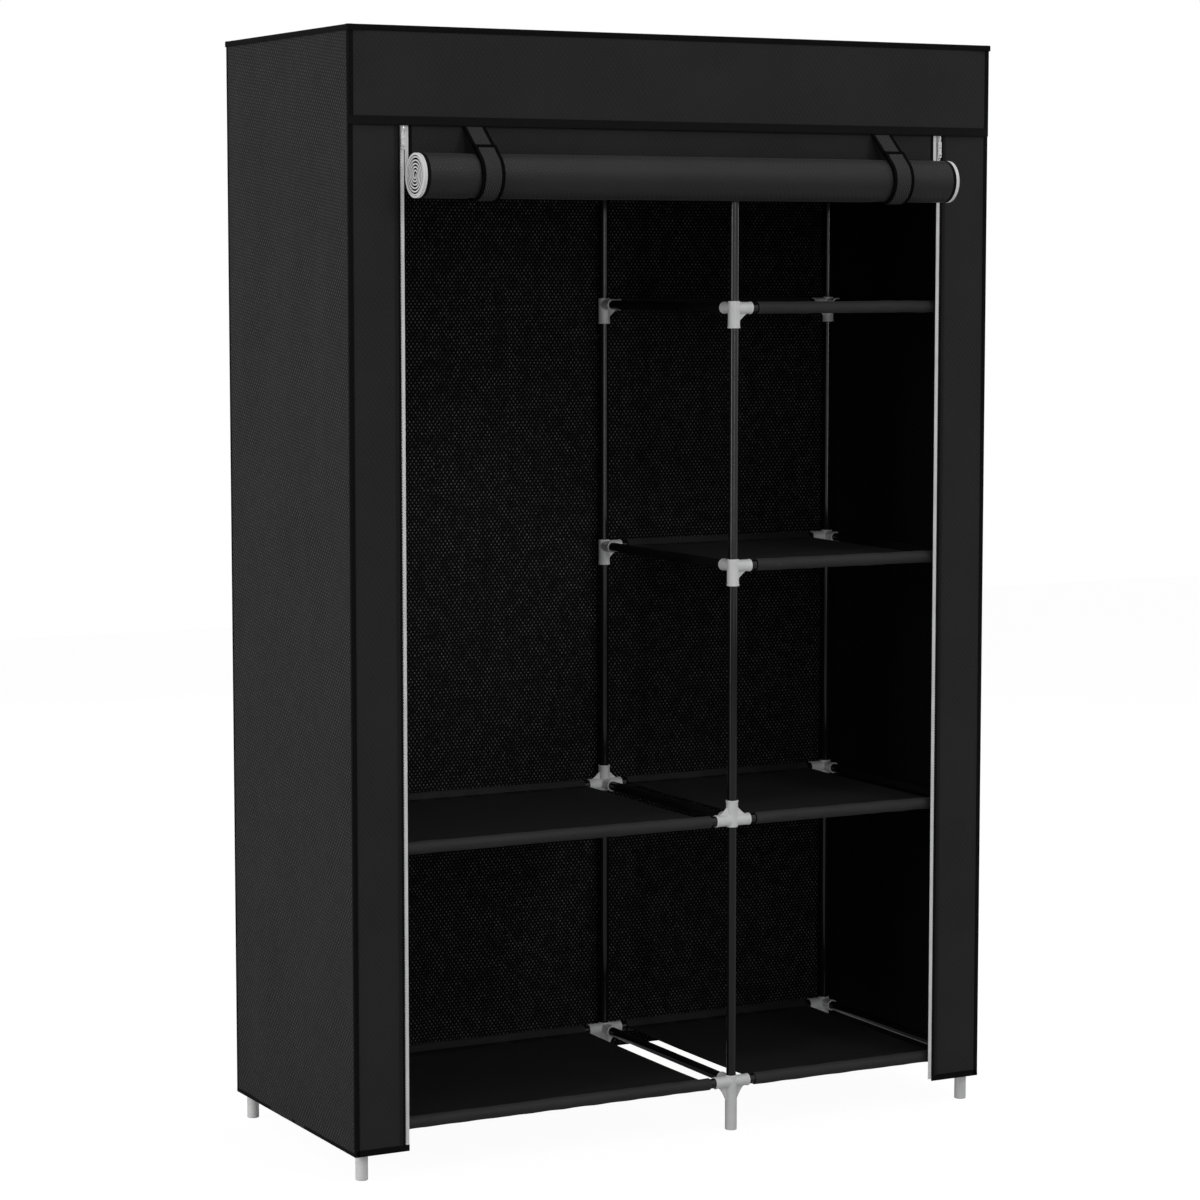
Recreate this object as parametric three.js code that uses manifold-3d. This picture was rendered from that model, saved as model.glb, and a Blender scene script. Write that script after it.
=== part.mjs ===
import * as THREE from 'three';
import { mergeVertices } from 'three/addons/utils/BufferGeometryUtils.js';
import Module from 'manifold-3d';

// Portable fabric wardrobe: a plugged tube frame in two bays under a sewn cloth cover,
// with a zipped door that is rolled up and held by two straps.
// Millimetres. X runs to the right, Y to the back and Z up, with the floor at zero.
// The origin lies on the floor, at the middle of the width and of the whole depth.

// Steel tubes
const tubeDiameter = 15;
const tubeWall = 0.6;
const tubeSides = 10;
const socketGap = 0.3; // play around a tube, in a socket or a sleeve
const seamGap = 0.3; // play between pieces that are sewn or laid side by side

// Heights of the rails, counted from the floor
const footHeight = 76;
const lowBayPitch = 411;
const upperBayPitch = 393.9;

// Moulded tube connectors
const uprightWall = 1.5; // outside the bore, as in the next two
const sideArmWall = 1.2;
const depthArmWall = 0.9;
const armReach = 30;
const armSides = 12;
const lipRise = 0.6;
const lipLength = 4;
const longArm = 31;
const shortCollar = 10.5;
const socketStop = 9.2; // from a connector's centre to the end of its side sockets
const poleSeat = 34; // how far below the floor rail a pole stands in its foot
const poleHeadroom = 4; // how far above the top rail a pole ends
const gussetThickness = 3;
const gussetSink = 1; // how deep a gusset's outer corners lie inside the arms
const gussetOut = 23;
const gussetAlong = 21;
const footGussetAlong = 35;
const railSleeveLength = 34;
const railArmReach = 30;

// Cloth cover
const clothThickness = 1.5;
const coverWidth = 1096;
const coverDepth = 460;
const hemHeight = 40;
const poleInset = 20; // from the cover's outer faces to the pole axes
const centrePoleOffset = 648; // from the cover's left face to the centre poles
const bindingHeight = 8;
const bindingThickness = 1.2;
const leftStripWidth = 82;
const rightStripWidth = 88.5;
const flapHeight = 140;
const flapHemHeight = 11;
const flapHemRise = 0.4;
const flapTopHem = 7;
const doorSeamAboveFlapEdge = 15;

// Shelf cloths
const sleeveThickness = 1.2;
const shelfEdgeGap = 40; // from a pole axis to the edge of the shelf cloth
const sleeveSides = 12;

// Rolled door
const rollDiameter = 66;
const rollPitch = 2.7;
const rollLayer = 1.9;
const rollCoreRadius = 5;
const rollStepsPerTurn = 20;
const rollBelowFlap = 39.1; // from the flap's lower edge to the top of the roll

// Straps that hold the roll
const strapWidth = 36;
const strapThickness = 1.5;
const strapInset = 199; // from each side of the cover to the middle of its strap
const strapUnderlap = 2; // degrees above the roll's axis where the upper leg ends
const strapOverlap = 26; // length of the loose end beyond the roll
const strapArcStep = 12; // degrees

// Zips
const zipTapeWidth = 6;
const zipHemClearance = 3;
const sliderWidth = 8;
const sliderTaper = 0.7;
const sliderLength = 11;
const sliderPlate = 1.3;
const sliderDoorGap = 0.6;
const sliderFlapGap = 1.2;
const cheekThickness = 1;
const cheekHeight = 4.6;
const cheekRise = 3.4;
const hingePinDiameter = 1.4;
const hingePinSides = 10;
const hingeRunningGap = 0.06;
const knuckleDiameter = 3.2;
const knuckleSideGap = 0.15;
const pullLength = 31.5;
const pullWidth = 7;
const pullThickness = 1.2;
const pullNeckLength = 5.5;
const pullHoleDiameter = 3.6;
const pullCorner = 1.6;
const pullCornerSteps = 3;

// One overrun serves every cut
const cutOverrun = 1;

// Sizes that follow from the ones above
const tubeRadius = tubeDiameter / 2;
const boreRadius = tubeRadius + socketGap;
const uprightRadius = boreRadius + uprightWall;
const sideArmRadius = boreRadius + sideArmWall;
const depthArmRadius = boreRadius + depthArmWall;
const connectorCrown = sideArmRadius + lipRise; // the highest point above the top rails
const levelHeights = {
  floor: footHeight,
  lower: footHeight + lowBayPitch,
  middle: footHeight + lowBayPitch + upperBayPitch,
  upper: footHeight + lowBayPitch + 2 * upperBayPitch,
  top: footHeight + lowBayPitch + 3 * upperBayPitch,
};
const coverUnderside = levelHeights.top + connectorCrown + seamGap;
const coverTop = coverUnderside + clothThickness;

const rollRadius = rollDiameter / 2;
const rollStandoff = rollRadius + seamGap; // from the cover's front face to the roll's axis
const strapInnerRadius = rollRadius + seamGap;
const strapOuterRadius = strapInnerRadius + strapThickness + seamGap;
const frontReach = rollStandoff + strapOuterRadius + strapThickness;
const frontY = -(coverDepth + frontReach) / 2 + frontReach;
const backY = frontY + coverDepth;

const poleSpan = coverDepth - 2 * poleInset;
const poleMiddleY = frontY + coverDepth / 2;
const coverHalfWidth = coverWidth / 2;
const columnX = {
  left: -coverHalfWidth + poleInset,
  centre: -coverHalfWidth + centrePoleOffset,
  right: coverHalfWidth - poleInset,
};

// The side panels hang just inside the binding that edges the top
const sideFace = coverHalfWidth - bindingThickness - seamGap;
const frontFrameHalfWidth = sideFace - clothThickness - seamGap;
const zipLineX = {
  left: -coverHalfWidth + leftStripWidth + seamGap + zipTapeWidth / 2,
  right: coverHalfWidth - rightStripWidth - seamGap - zipTapeWidth / 2,
};
const doorEdgeInset = sliderWidth / 2 + sliderDoorGap;
const doorLeft = zipLineX.left + doorEdgeInset;
const doorRight = zipLineX.right - doorEdgeInset;
const flapEdge = coverTop - flapHeight;
const doorSeam = flapEdge + doorSeamAboveFlapEdge;
const rollAxisHeight = flapEdge - rollBelowFlap - rollRadius;
const strapOffset = coverHalfWidth - strapInset;
const flapStandoff = strapThickness + 2 * seamGap;

// Materials, each piece with its own copy
const finishes = {
  steel: { color: 0x3a3a3c, roughness: 0.35, metalness: 0.6 },
  plastic: { color: 0xc2c3c4, roughness: 0.5, metalness: 0 },
  cover: { color: 0x242426, roughness: 0.9, metalness: 0 },
  shelf: { color: 0x1c1c1e, roughness: 0.95, metalness: 0 },
  webbing: { color: 0x18181a, roughness: 0.85, metalness: 0 },
  zipTape: { color: 0xd8d8d8, roughness: 0.8, metalness: 0 },
  zipMetal: { color: 0xb9bbbe, roughness: 0.3, metalness: 0.9 },
};

function piece(name, geometry, finish) {
  const mesh = new THREE.Mesh(geometry, new THREE.MeshStandardMaterial(finishes[finish]));
  mesh.name = name;
  return mesh;
}

// Solids and their joins and cuts
const wasm = await Module();
wasm.setup();

function solidOf(geometry) {
  const plain = geometry.clone();
  plain.deleteAttribute('normal');
  plain.deleteAttribute('uv');
  const merged = mergeVertices(plain);
  const index = merged.index.array;
  const triangles = [];
  for (let corner = 0; corner < index.length; corner += 3) {
    const [a, b, c] = index.slice(corner, corner + 3);
    if (a !== b && b !== c && c !== a) triangles.push(a, b, c);
  }
  return new wasm.Manifold(new wasm.Mesh({
    numProp: 3,
    vertProperties: merged.attributes.position.array,
    triVerts: new Uint32Array(triangles),
  }));
}

function geometryOf(solid) {
  const mesh = solid.getMesh();
  const geometry = new THREE.BufferGeometry();
  geometry.setAttribute('position', new THREE.BufferAttribute(mesh.vertProperties, 3));
  geometry.setIndex(new THREE.BufferAttribute(mesh.triVerts, 1));
  return geometry;
}

function joined(solids) {
  return solids.reduce((whole, solid) => whole.add(solid));
}

function cut(body, tools) {
  return tools.reduce((rest, tool) => rest.subtract(tool), body);
}

// Turns a profile about an axis that starts at a point and runs along a direction
function turned(profile, direction, start, sides) {
  const points = profile.map(([radius, along]) => new THREE.Vector2(radius, along));
  const geometry = new THREE.LatheGeometry(points, sides);
  const turn = new THREE.Quaternion().setFromUnitVectors(new THREE.Vector3(0, 1, 0), direction);
  geometry.applyQuaternion(turn);
  geometry.translate(start.x, start.y, start.z);
  return geometry;
}

function rod(radius, length, direction, start, sides) {
  return turned([[0, 0], [radius, 0], [radius, length], [0, length]], direction, start, sides);
}

// Extrudes an outline along X, drawn in Y and Z, or along Y, drawn in X and Z
function extruded(outline, axis, from, to, holes = []) {
  const shape = new THREE.Shape(outline);
  shape.holes = holes.map((hole) => new THREE.Path(hole));
  const geometry = new THREE.ExtrudeGeometry(shape, { depth: to - from, bevelEnabled: false });
  const frame = new THREE.Matrix4();
  if (axis === 'x') {
    frame.makeBasis(alongY, alongZ, alongX).setPosition(from, 0, 0);
  } else {
    frame.makeBasis(alongX, alongZ, alongY.clone().negate()).setPosition(0, to, 0);
  }
  return geometry.applyMatrix4(frame);
}

function block(from, to) {
  const size = new THREE.Vector3().subVectors(to, from);
  const middle = new THREE.Vector3().addVectors(from, to).multiplyScalar(1 / 2);
  return new THREE.BoxGeometry(size.x, size.y, size.z).translate(middle.x, middle.y, middle.z);
}

function arcPoints(radius, startDegrees, endDegrees, steps, centre = new THREE.Vector2()) {
  const points = [];
  for (let step = 0; step <= steps; step += 1) {
    const degrees = startDegrees + (endDegrees - startDegrees) * step / steps;
    const angle = THREE.MathUtils.degToRad(degrees);
    points.push(new THREE.Vector2(Math.cos(angle), Math.sin(angle)).multiplyScalar(radius).add(centre));
  }
  return points;
}

// The outline of a band of even thickness that follows a path
function bandOutline(path, thickness) {
  const left = [];
  const right = [];
  path.forEach((point, place) => {
    const before = path[Math.max(place - 1, 0)];
    const after = path[Math.min(place + 1, path.length - 1)];
    const incoming = place > 0 ? point.clone().sub(before).normalize() : null;
    const outgoing = place < path.length - 1 ? after.clone().sub(point).normalize() : null;
    const first = incoming ?? outgoing;
    const second = outgoing ?? incoming;
    const bisector = new THREE.Vector2(-first.y - second.y, first.x + second.x).normalize();
    const halfWidth = thickness / 2 / bisector.dot(new THREE.Vector2(-first.y, first.x));
    left.push(point.clone().addScaledVector(bisector, halfWidth));
    right.push(point.clone().addScaledVector(bisector, -halfWidth));
  });
  return [...right, ...left.reverse()];
}

const alongX = new THREE.Vector3(1, 0, 0);
const alongY = new THREE.Vector3(0, 1, 0);
const alongZ = new THREE.Vector3(0, 0, 1);
const zero = new THREE.Vector3();

// Connectors

// A socket arm is a barrel whose mouth flares into a lip
function arm(radius, direction, reach) {
  const profile = [
    [0, 0],
    [radius, 0],
    [radius, reach - lipLength],
    [radius + lipRise, reach],
    [0, reach],
  ];
  return solidOf(turned(profile, direction, zero, armSides));
}

function bore(direction, from, to) {
  const start = direction.clone().multiplyScalar(from);
  return solidOf(rod(boreRadius, to - from, direction, start, tubeSides));
}

// A flat web that braces a side arm against the upright arm, above or below it
function gusset(side, along) {
  const inset = sideArmRadius - gussetSink;
  const outline = [
    new THREE.Vector2(0, 0),
    new THREE.Vector2(side * gussetOut, 0),
    new THREE.Vector2(side * gussetOut, Math.sign(along) * inset),
    new THREE.Vector2(side * inset, along),
    new THREE.Vector2(0, along),
  ];
  return solidOf(extruded(outline, 'y', -gussetThickness / 2, gussetThickness / 2));
}

// How far the upright arms reach up and down, and on which side the gussets lie.
// The lower connectors in the middle of the wardrobe stand the other way up.
const hanging = { up: shortCollar, down: longArm, gusset: -gussetAlong };
const standing = { up: longArm, down: shortCollar, gusset: gussetAlong };
const uprightArms = {
  floor: { up: shortCollar, down: footHeight, gusset: -footGussetAlong },
  lower: hanging,
  middle: hanging,
  upper: hanging,
  top: { ...hanging, up: connectorCrown },
};
const alongDown = new THREE.Vector3(0, 0, -1);

function uprightBore(level, up, down) {
  const bottom = level === 'floor' ? -poleSeat - socketGap : -down - cutOverrun;
  const top = level === 'top' ? poleHeadroom + socketGap : up + cutOverrun;
  return bore(alongZ, bottom, top);
}

// Only an upright arm that is long enough to hold a pole by itself has a lip
function uprightArm(direction, reach) {
  if (reach === longArm) return arm(uprightRadius, direction, reach);
  return solidOf(rod(uprightRadius, reach, direction, zero, armSides));
}

// A connector about its own centre, with its depth arm pointing along +Y or -Y
function connector(level, sides, depthSign) {
  const stands = level === 'lower' && sides.length > 1;
  const { up, down, gusset: along } = stands ? standing : uprightArms[level];
  const sideWays = sides.map((side) => alongX.clone().multiplyScalar(side));
  const body = joined([
    uprightArm(alongZ, up),
    uprightArm(alongDown, down),
    arm(depthArmRadius, alongY.clone().multiplyScalar(depthSign), armReach),
    ...sideWays.map((way) => arm(sideArmRadius, way, armReach)),
    ...sides.map((side) => gusset(side, along)),
  ]);
  return cut(body, [
    uprightBore(level, up, down),
    ...sideWays.map((way) => bore(way, socketStop, armReach + cutOverrun)),
  ]);
}

// The sleeve halfway along a top crossbar that carries the hanging rail
function railSleeve(side) {
  const way = alongX.clone().multiplyScalar(side);
  const start = new THREE.Vector3(0, -railSleeveLength / 2, 0);
  const sleeve = solidOf(rod(uprightRadius, railSleeveLength, alongY, start, armSides));
  const body = sleeve.add(arm(sideArmRadius, way, railArmReach));
  return cut(body, [bore(way, socketStop, railArmReach + cutOverrun)]);
}

// A crossbar joins the front and the back connector of one column at one level
function crossbar(column, level, sides, railSide) {
  const start = new THREE.Vector3(0, -poleSpan / 2 + socketStop, 0);
  const bar = solidOf(rod(tubeRadius, poleSpan - 2 * socketStop, alongY, start, tubeSides));
  const parts = [
    connector(level, sides, 1).translate(0, -poleSpan / 2, 0),
    connector(level, sides, -1).translate(0, poleSpan / 2, 0),
    bar,
  ];
  if (railSide) parts.push(railSleeve(railSide));
  const mesh = piece(`crossbar_${column}_${level}`, geometryOf(joined(parts)), 'plastic');
  mesh.position.set(columnX[column], poleMiddleY, levelHeights[level]);
  return mesh;
}

const columnPlans = [
  { column: 'left', levels: ['floor', 'lower', 'top'], sides: () => [1] },
  {
    column: 'centre',
    levels: ['floor', 'lower', 'middle', 'upper', 'top'],
    sides: (level) => (level === 'middle' || level === 'upper' ? [1] : [-1, 1]),
  },
  { column: 'right', levels: ['floor', 'lower', 'middle', 'upper', 'top'], sides: () => [-1] },
];
const railSides = { left: 1, centre: -1, right: 0 };

function crossbars() {
  return columnPlans.flatMap(({ column, levels, sides }) => levels.map((level) => {
    const railSide = level === 'top' ? railSides[column] : 0;
    return crossbar(column, level, sides(level), railSide);
  }));
}

// Tubes

function tube(direction, length) {
  const inner = tubeRadius - tubeWall;
  const profile = [[inner, 0], [tubeRadius, 0], [tubeRadius, length], [inner, length], [inner, 0]];
  return turned(profile, direction, zero, tubeSides);
}

function poles() {
  const bottom = levelHeights.floor - poleSeat;
  const length = levelHeights.top + poleHeadroom - bottom;
  const rows = { front: -poleSpan / 2, back: poleSpan / 2 };
  return Object.entries(rows).flatMap(([row, offset]) => Object.keys(columnX).map((column) => {
    const mesh = piece(`pole_${row}_${column}`, tube(alongZ, length), 'steel');
    mesh.position.set(columnX[column], poleMiddleY + offset, bottom);
    return mesh;
  }));
}

const bays = {
  left: { from: columnX.left, to: columnX.centre },
  right: { from: columnX.centre, to: columnX.right },
};

// A level tube across one bay, plugged into a socket at each end
function crossTube(name, bay, y, z) {
  const from = bays[bay].from + socketStop + socketGap;
  const length = bays[bay].to - socketStop - socketGap - from;
  const mesh = piece(name, tube(alongX, length), 'steel');
  mesh.position.set(from, y, z);
  return mesh;
}

const shelfPlans = [
  { bay: 'left', levels: ['floor', 'lower'] },
  { bay: 'right', levels: ['floor', 'lower', 'middle', 'upper'] },
];

function shelfTubes() {
  return shelfPlans.flatMap(({ bay, levels }) => levels.flatMap((level) => [
    crossTube(`shelf_tube_${bay}_${level}_front`, bay, poleMiddleY - poleSpan / 2, levelHeights[level]),
    crossTube(`shelf_tube_${bay}_${level}_back`, bay, poleMiddleY + poleSpan / 2, levelHeights[level]),
  ]));
}

function topRails() {
  return Object.keys(bays).flatMap((bay) => [
    crossTube(`top_rail_${bay}_front`, bay, poleMiddleY - poleSpan / 2, levelHeights.top),
    crossTube(`top_rail_${bay}_back`, bay, poleMiddleY + poleSpan / 2, levelHeights.top),
  ]);
}

function hangingRail() {
  return crossTube('hanging_rail', 'left', poleMiddleY, levelHeights.top);
}

// Shelf cloths, each stretched level between two sleeves that the shelf tubes run through

function shelfOutline() {
  const outer = boreRadius + sleeveThickness;
  const reach = poleSpan / 2;
  const meeting = THREE.MathUtils.radToDeg(Math.asin(clothThickness / 2 / outer));
  const front = new THREE.Vector2(-reach, 0);
  const back = new THREE.Vector2(reach, 0);
  return [
    ...arcPoints(outer, meeting, 360 - meeting, sleeveSides, front),
    ...arcPoints(outer, 180 + meeting, 540 - meeting, sleeveSides, back),
  ];
}

function shelf(bay, level) {
  const width = bays[bay].to - bays[bay].from - 2 * shelfEdgeGap;
  const sleeveCentres = [-poleSpan / 2, poleSpan / 2].map((y) => new THREE.Vector2(y, 0));
  const holes = sleeveCentres.map((centre) => (
    arcPoints(boreRadius, 90, 450, tubeSides, centre).slice(0, -1)
  ));
  const geometry = extruded(shelfOutline(), 'x', -width / 2, width / 2, holes);
  const mesh = piece(`shelf_${bay}_${level}`, geometry, 'shelf');
  mesh.position.set((bays[bay].from + bays[bay].to) / 2, poleMiddleY, levelHeights[level]);
  return mesh;
}

function shelves() {
  return shelfPlans.flatMap(({ bay, levels }) => levels.map((level) => shelf(bay, level)));
}

// Cover

// The top lies on the connectors, with a binding turned down over the sides and the back
function coverTopPanel() {
  const front = frontY - flapStandoff - clothThickness;
  const bindingBottom = coverTop - bindingHeight;
  const tray = solidOf(block(
    new THREE.Vector3(-coverHalfWidth, front, bindingBottom),
    new THREE.Vector3(coverHalfWidth, backY, coverTop),
  ));
  const hollow = solidOf(block(
    new THREE.Vector3(-coverHalfWidth + bindingThickness, front - cutOverrun, bindingBottom - cutOverrun),
    new THREE.Vector3(coverHalfWidth - bindingThickness, backY - bindingThickness, coverUnderside),
  ));
  const frontCorner = solidOf(block(
    new THREE.Vector3(-coverHalfWidth - cutOverrun, front - cutOverrun, bindingBottom - cutOverrun),
    new THREE.Vector3(coverHalfWidth + cutOverrun, frontY, coverUnderside),
  ));
  return piece('cover_top', geometryOf(cut(tray, [hollow, frontCorner])), 'cover');
}

function coverSide(name, outerX, side) {
  const innerX = outerX - side * clothThickness;
  const geometry = block(
    new THREE.Vector3(Math.min(innerX, outerX), frontY, hemHeight),
    new THREE.Vector3(Math.max(innerX, outerX), panelBackY, coverUnderside - seamGap),
  );
  return piece(name, geometry, 'cover');
}

const panelBackY = backY - bindingThickness - seamGap;

function coverBack() {
  const geometry = block(
    new THREE.Vector3(-frontFrameHalfWidth, panelBackY - clothThickness, hemHeight),
    new THREE.Vector3(frontFrameHalfWidth, panelBackY, coverUnderside - seamGap),
  );
  return piece('cover_back', geometry, 'cover');
}

// Two strips and the band above the doorway, cut in one, with a notch where each strap passes
function coverFrontFrame() {
  const top = coverUnderside - seamGap;
  const leftInner = zipLineX.left - zipTapeWidth / 2 - seamGap;
  const rightInner = zipLineX.right + zipTapeWidth / 2 + seamGap;
  const notchTop = doorSeam + strapThickness + 2 * seamGap;
  const notchHalf = strapWidth / 2 + seamGap;
  const notches = [-strapOffset, strapOffset].flatMap((x) => [
    new THREE.Vector2(x - notchHalf, doorSeam),
    new THREE.Vector2(x - notchHalf, notchTop),
    new THREE.Vector2(x + notchHalf, notchTop),
    new THREE.Vector2(x + notchHalf, doorSeam),
  ]);
  const outline = [
    new THREE.Vector2(-frontFrameHalfWidth, hemHeight),
    new THREE.Vector2(leftInner, hemHeight),
    new THREE.Vector2(leftInner, doorSeam),
    ...notches,
    new THREE.Vector2(rightInner, doorSeam),
    new THREE.Vector2(rightInner, hemHeight),
    new THREE.Vector2(frontFrameHalfWidth, hemHeight),
    new THREE.Vector2(frontFrameHalfWidth, top),
    new THREE.Vector2(-frontFrameHalfWidth, top),
  ];
  return piece('cover_front_frame', extruded(outline, 'y', frontY, frontY + clothThickness), 'cover');
}

// The flap hangs in front of the band from a thicker top hem and ends in a bound lower hem
function headerFlap() {
  const back = frontY - flapStandoff;
  const face = back - clothThickness;
  const top = coverUnderside - seamGap;
  const outline = [
    new THREE.Vector2(face - flapHemRise, flapEdge),
    new THREE.Vector2(back, flapEdge),
    new THREE.Vector2(back, top - flapTopHem),
    new THREE.Vector2(frontY - seamGap, top - flapTopHem),
    new THREE.Vector2(frontY - seamGap, top),
    new THREE.Vector2(face, top),
    new THREE.Vector2(face, flapEdge + flapHemHeight),
    new THREE.Vector2(face - flapHemRise, flapEdge + flapHemHeight),
  ];
  return piece('header_flap', extruded(outline, 'x', -coverHalfWidth, coverHalfWidth), 'cover');
}

// Door

// The rolled part winds inwards from the back of the roll, under it and up its front
function rollPath() {
  const outer = rollRadius - rollLayer / 2;
  const inner = rollCoreRadius + rollLayer / 2;
  const turns = (outer - inner) / rollPitch;
  const steps = Math.round(turns * rollStepsPerTurn);
  const path = [];
  for (let step = 0; step <= steps; step += 1) {
    const turn = turns * step / steps;
    const angle = turn * 2 * Math.PI;
    const radius = outer - rollPitch * turn;
    path.push(new THREE.Vector2(Math.cos(angle), -Math.sin(angle)).multiplyScalar(radius));
  }
  return path;
}

function leastRollGap(path) {
  let least = Infinity;
  path.forEach((point, place) => {
    for (let other = place + rollStepsPerTurn / 2; other < path.length; other += 1) {
      least = Math.min(least, point.distanceTo(path[other]) - rollLayer);
    }
  });
  return least;
}

function doorRoll() {
  const path = rollPath();
  console.log(`least gap in the roll: ${leastRollGap(path).toFixed(2)} mm`);
  const geometry = extruded(bandOutline(path, rollLayer), 'x', doorLeft, doorRight);
  const mesh = piece('door_roll', geometry, 'cover');
  mesh.position.set(0, frontY - rollStandoff, rollAxisHeight);
  return mesh;
}

// The part that still hangs, from the seam behind the flap down to the back of the roll
function doorSheet() {
  const geometry = block(
    new THREE.Vector3(doorLeft, frontY, rollAxisHeight),
    new THREE.Vector3(doorRight, frontY + clothThickness, doorSeam - seamGap),
  );
  return piece('door_sheet', geometry, 'cover');
}

// Straps, drawn about the roll's axis with -Y to the front

function tangentPoint(from, radius) {
  const distance = from.length();
  const towards = Math.atan2(from.y, from.x);
  const angle = towards + Math.acos(radius / distance);
  return { degrees: THREE.MathUtils.radToDeg(angle), angle };
}

const flapEdgeAboveAxis = flapEdge - rollAxisHeight;
const strapFrontPlane = rollStandoff - seamGap - strapThickness / 2;
const strapRearPlane = rollStandoff + clothThickness + seamGap + strapThickness / 2;
const strapLeaves = new THREE.Vector2(strapFrontPlane, flapEdgeAboveAxis - seamGap);
const upperLegRadius = strapInnerRadius + strapThickness / 2;
const looseEndRadius = strapOuterRadius + strapThickness / 2;

// The strap is sewn into the door's seam: one leg leaves forwards onto the roll,
// the other hangs behind the door down to the height of the roll's axis
function strapPath() {
  const seamHeight = doorSeam - rollAxisHeight + seamGap + strapThickness / 2;
  const touch = tangentPoint(strapLeaves, upperLegRadius).degrees;
  const arcEnd = 180 - strapUnderlap;
  const steps = Math.ceil((arcEnd - touch) / strapArcStep);
  return [
    new THREE.Vector2(strapRearPlane, 0),
    new THREE.Vector2(strapRearPlane, seamHeight),
    new THREE.Vector2(strapFrontPlane, seamHeight),
    strapLeaves,
    ...arcPoints(upperLegRadius, touch, arcEnd, steps),
  ];
}

// The loose end carries on from the rear leg, under the roll and up over the upper leg
function strapEndPath() {
  const touch = tangentPoint(strapLeaves, upperLegRadius);
  const firstDegrees = -THREE.MathUtils.radToDeg(seamGap / looseEndRadius);
  const lastDegrees = touch.degrees - 360;
  const steps = Math.ceil((firstDegrees - lastDegrees) / strapArcStep);
  const arc = arcPoints(looseEndRadius, firstDegrees, lastDegrees, steps);
  const along = new THREE.Vector2(Math.sin(touch.angle), -Math.cos(touch.angle));
  return [...arc, arc[steps].clone().addScaledVector(along, strapOverlap)];
}

function strapPiece(name, path, x) {
  const geometry = extruded(bandOutline(path, strapThickness), 'x', -strapWidth / 2, strapWidth / 2);
  const mesh = piece(name, geometry, 'webbing');
  mesh.position.set(x, frontY - rollStandoff, rollAxisHeight);
  return mesh;
}

function straps() {
  const places = { left: -strapOffset, right: strapOffset };
  return Object.entries(places).flatMap(([side, x]) => [
    strapPiece(`strap_${side}`, strapPath(), x),
    strapPiece(`strap_end_${side}`, strapEndPath(), x),
  ]);
}

// Zips, with the slider and its pull drawn about the middle of the slider on the tape's face

const sliderHeight = flapEdge - sliderFlapGap - sliderLength / 2;

function zipTape(side) {
  const geometry = block(
    new THREE.Vector3(-zipTapeWidth / 2, 0, hemHeight + zipHemClearance),
    new THREE.Vector3(zipTapeWidth / 2, clothThickness, doorSeam - seamGap),
  );
  const mesh = piece(`zip_tape_${side}`, geometry, 'zipTape');
  mesh.position.set(zipLineX[side], frontY, 0);
  return mesh;
}

// The hinge pin of a pull lies in front of the slider, between two cheeks
const hingePinForward = seamGap + sliderPlate + cheekRise - knuckleDiameter / 2;
const hingePinHeight = sliderLength / 2 - cheekHeight / 2;
const cheekInner = knuckleDiameter / 2 + knuckleSideGap;

// doorSide is +1 where the door lies to the right of the tape
function zipSlider(side, doorSide) {
  const half = sliderWidth / 2;
  const bottomHalf = half - sliderTaper;
  const lowEnd = -sliderLength / 2;
  const highEnd = sliderLength / 2;
  const face = -seamGap - sliderPlate;
  const shield = solidOf(extruded([
    new THREE.Vector2(-bottomHalf, lowEnd),
    new THREE.Vector2(bottomHalf, lowEnd),
    new THREE.Vector2(half, highEnd - sliderTaper),
    new THREE.Vector2(bottomHalf, highEnd),
    new THREE.Vector2(-bottomHalf, highEnd),
    new THREE.Vector2(-half, highEnd - sliderTaper),
  ], 'y', face, clothThickness + seamGap + sliderPlate));
  const channelEnd = zipTapeWidth / 2 + seamGap / 2;
  const channelStart = half + cutOverrun;
  const channel = solidOf(block(
    new THREE.Vector3(doorSide > 0 ? -channelStart : -channelEnd, -seamGap, lowEnd - cutOverrun),
    new THREE.Vector3(doorSide > 0 ? channelEnd : channelStart, clothThickness + seamGap, highEnd + cutOverrun),
  ));
  const cheeks = [-1, 1].map((way) => {
    const near = way * cheekInner;
    const far = way * (cheekInner + cheekThickness);
    return solidOf(block(
      new THREE.Vector3(Math.min(near, far), face - cheekRise, highEnd - cheekHeight),
      new THREE.Vector3(Math.max(near, far), face + sliderPlate / 2, highEnd),
    ));
  });
  const pinStart = new THREE.Vector3(-cheekInner - cheekThickness / 2, -hingePinForward, hingePinHeight);
  const pin = rod(hingePinDiameter / 2, 2 * cheekInner + cheekThickness, alongX, pinStart, hingePinSides);
  const body = joined([cut(shield, [channel]), ...cheeks, solidOf(pin)]);
  const mesh = piece(`zip_slider_${side}`, geometryOf(body), 'zipMetal');
  mesh.position.set(zipLineX[side], frontY, sliderHeight);
  return mesh;
}

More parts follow.
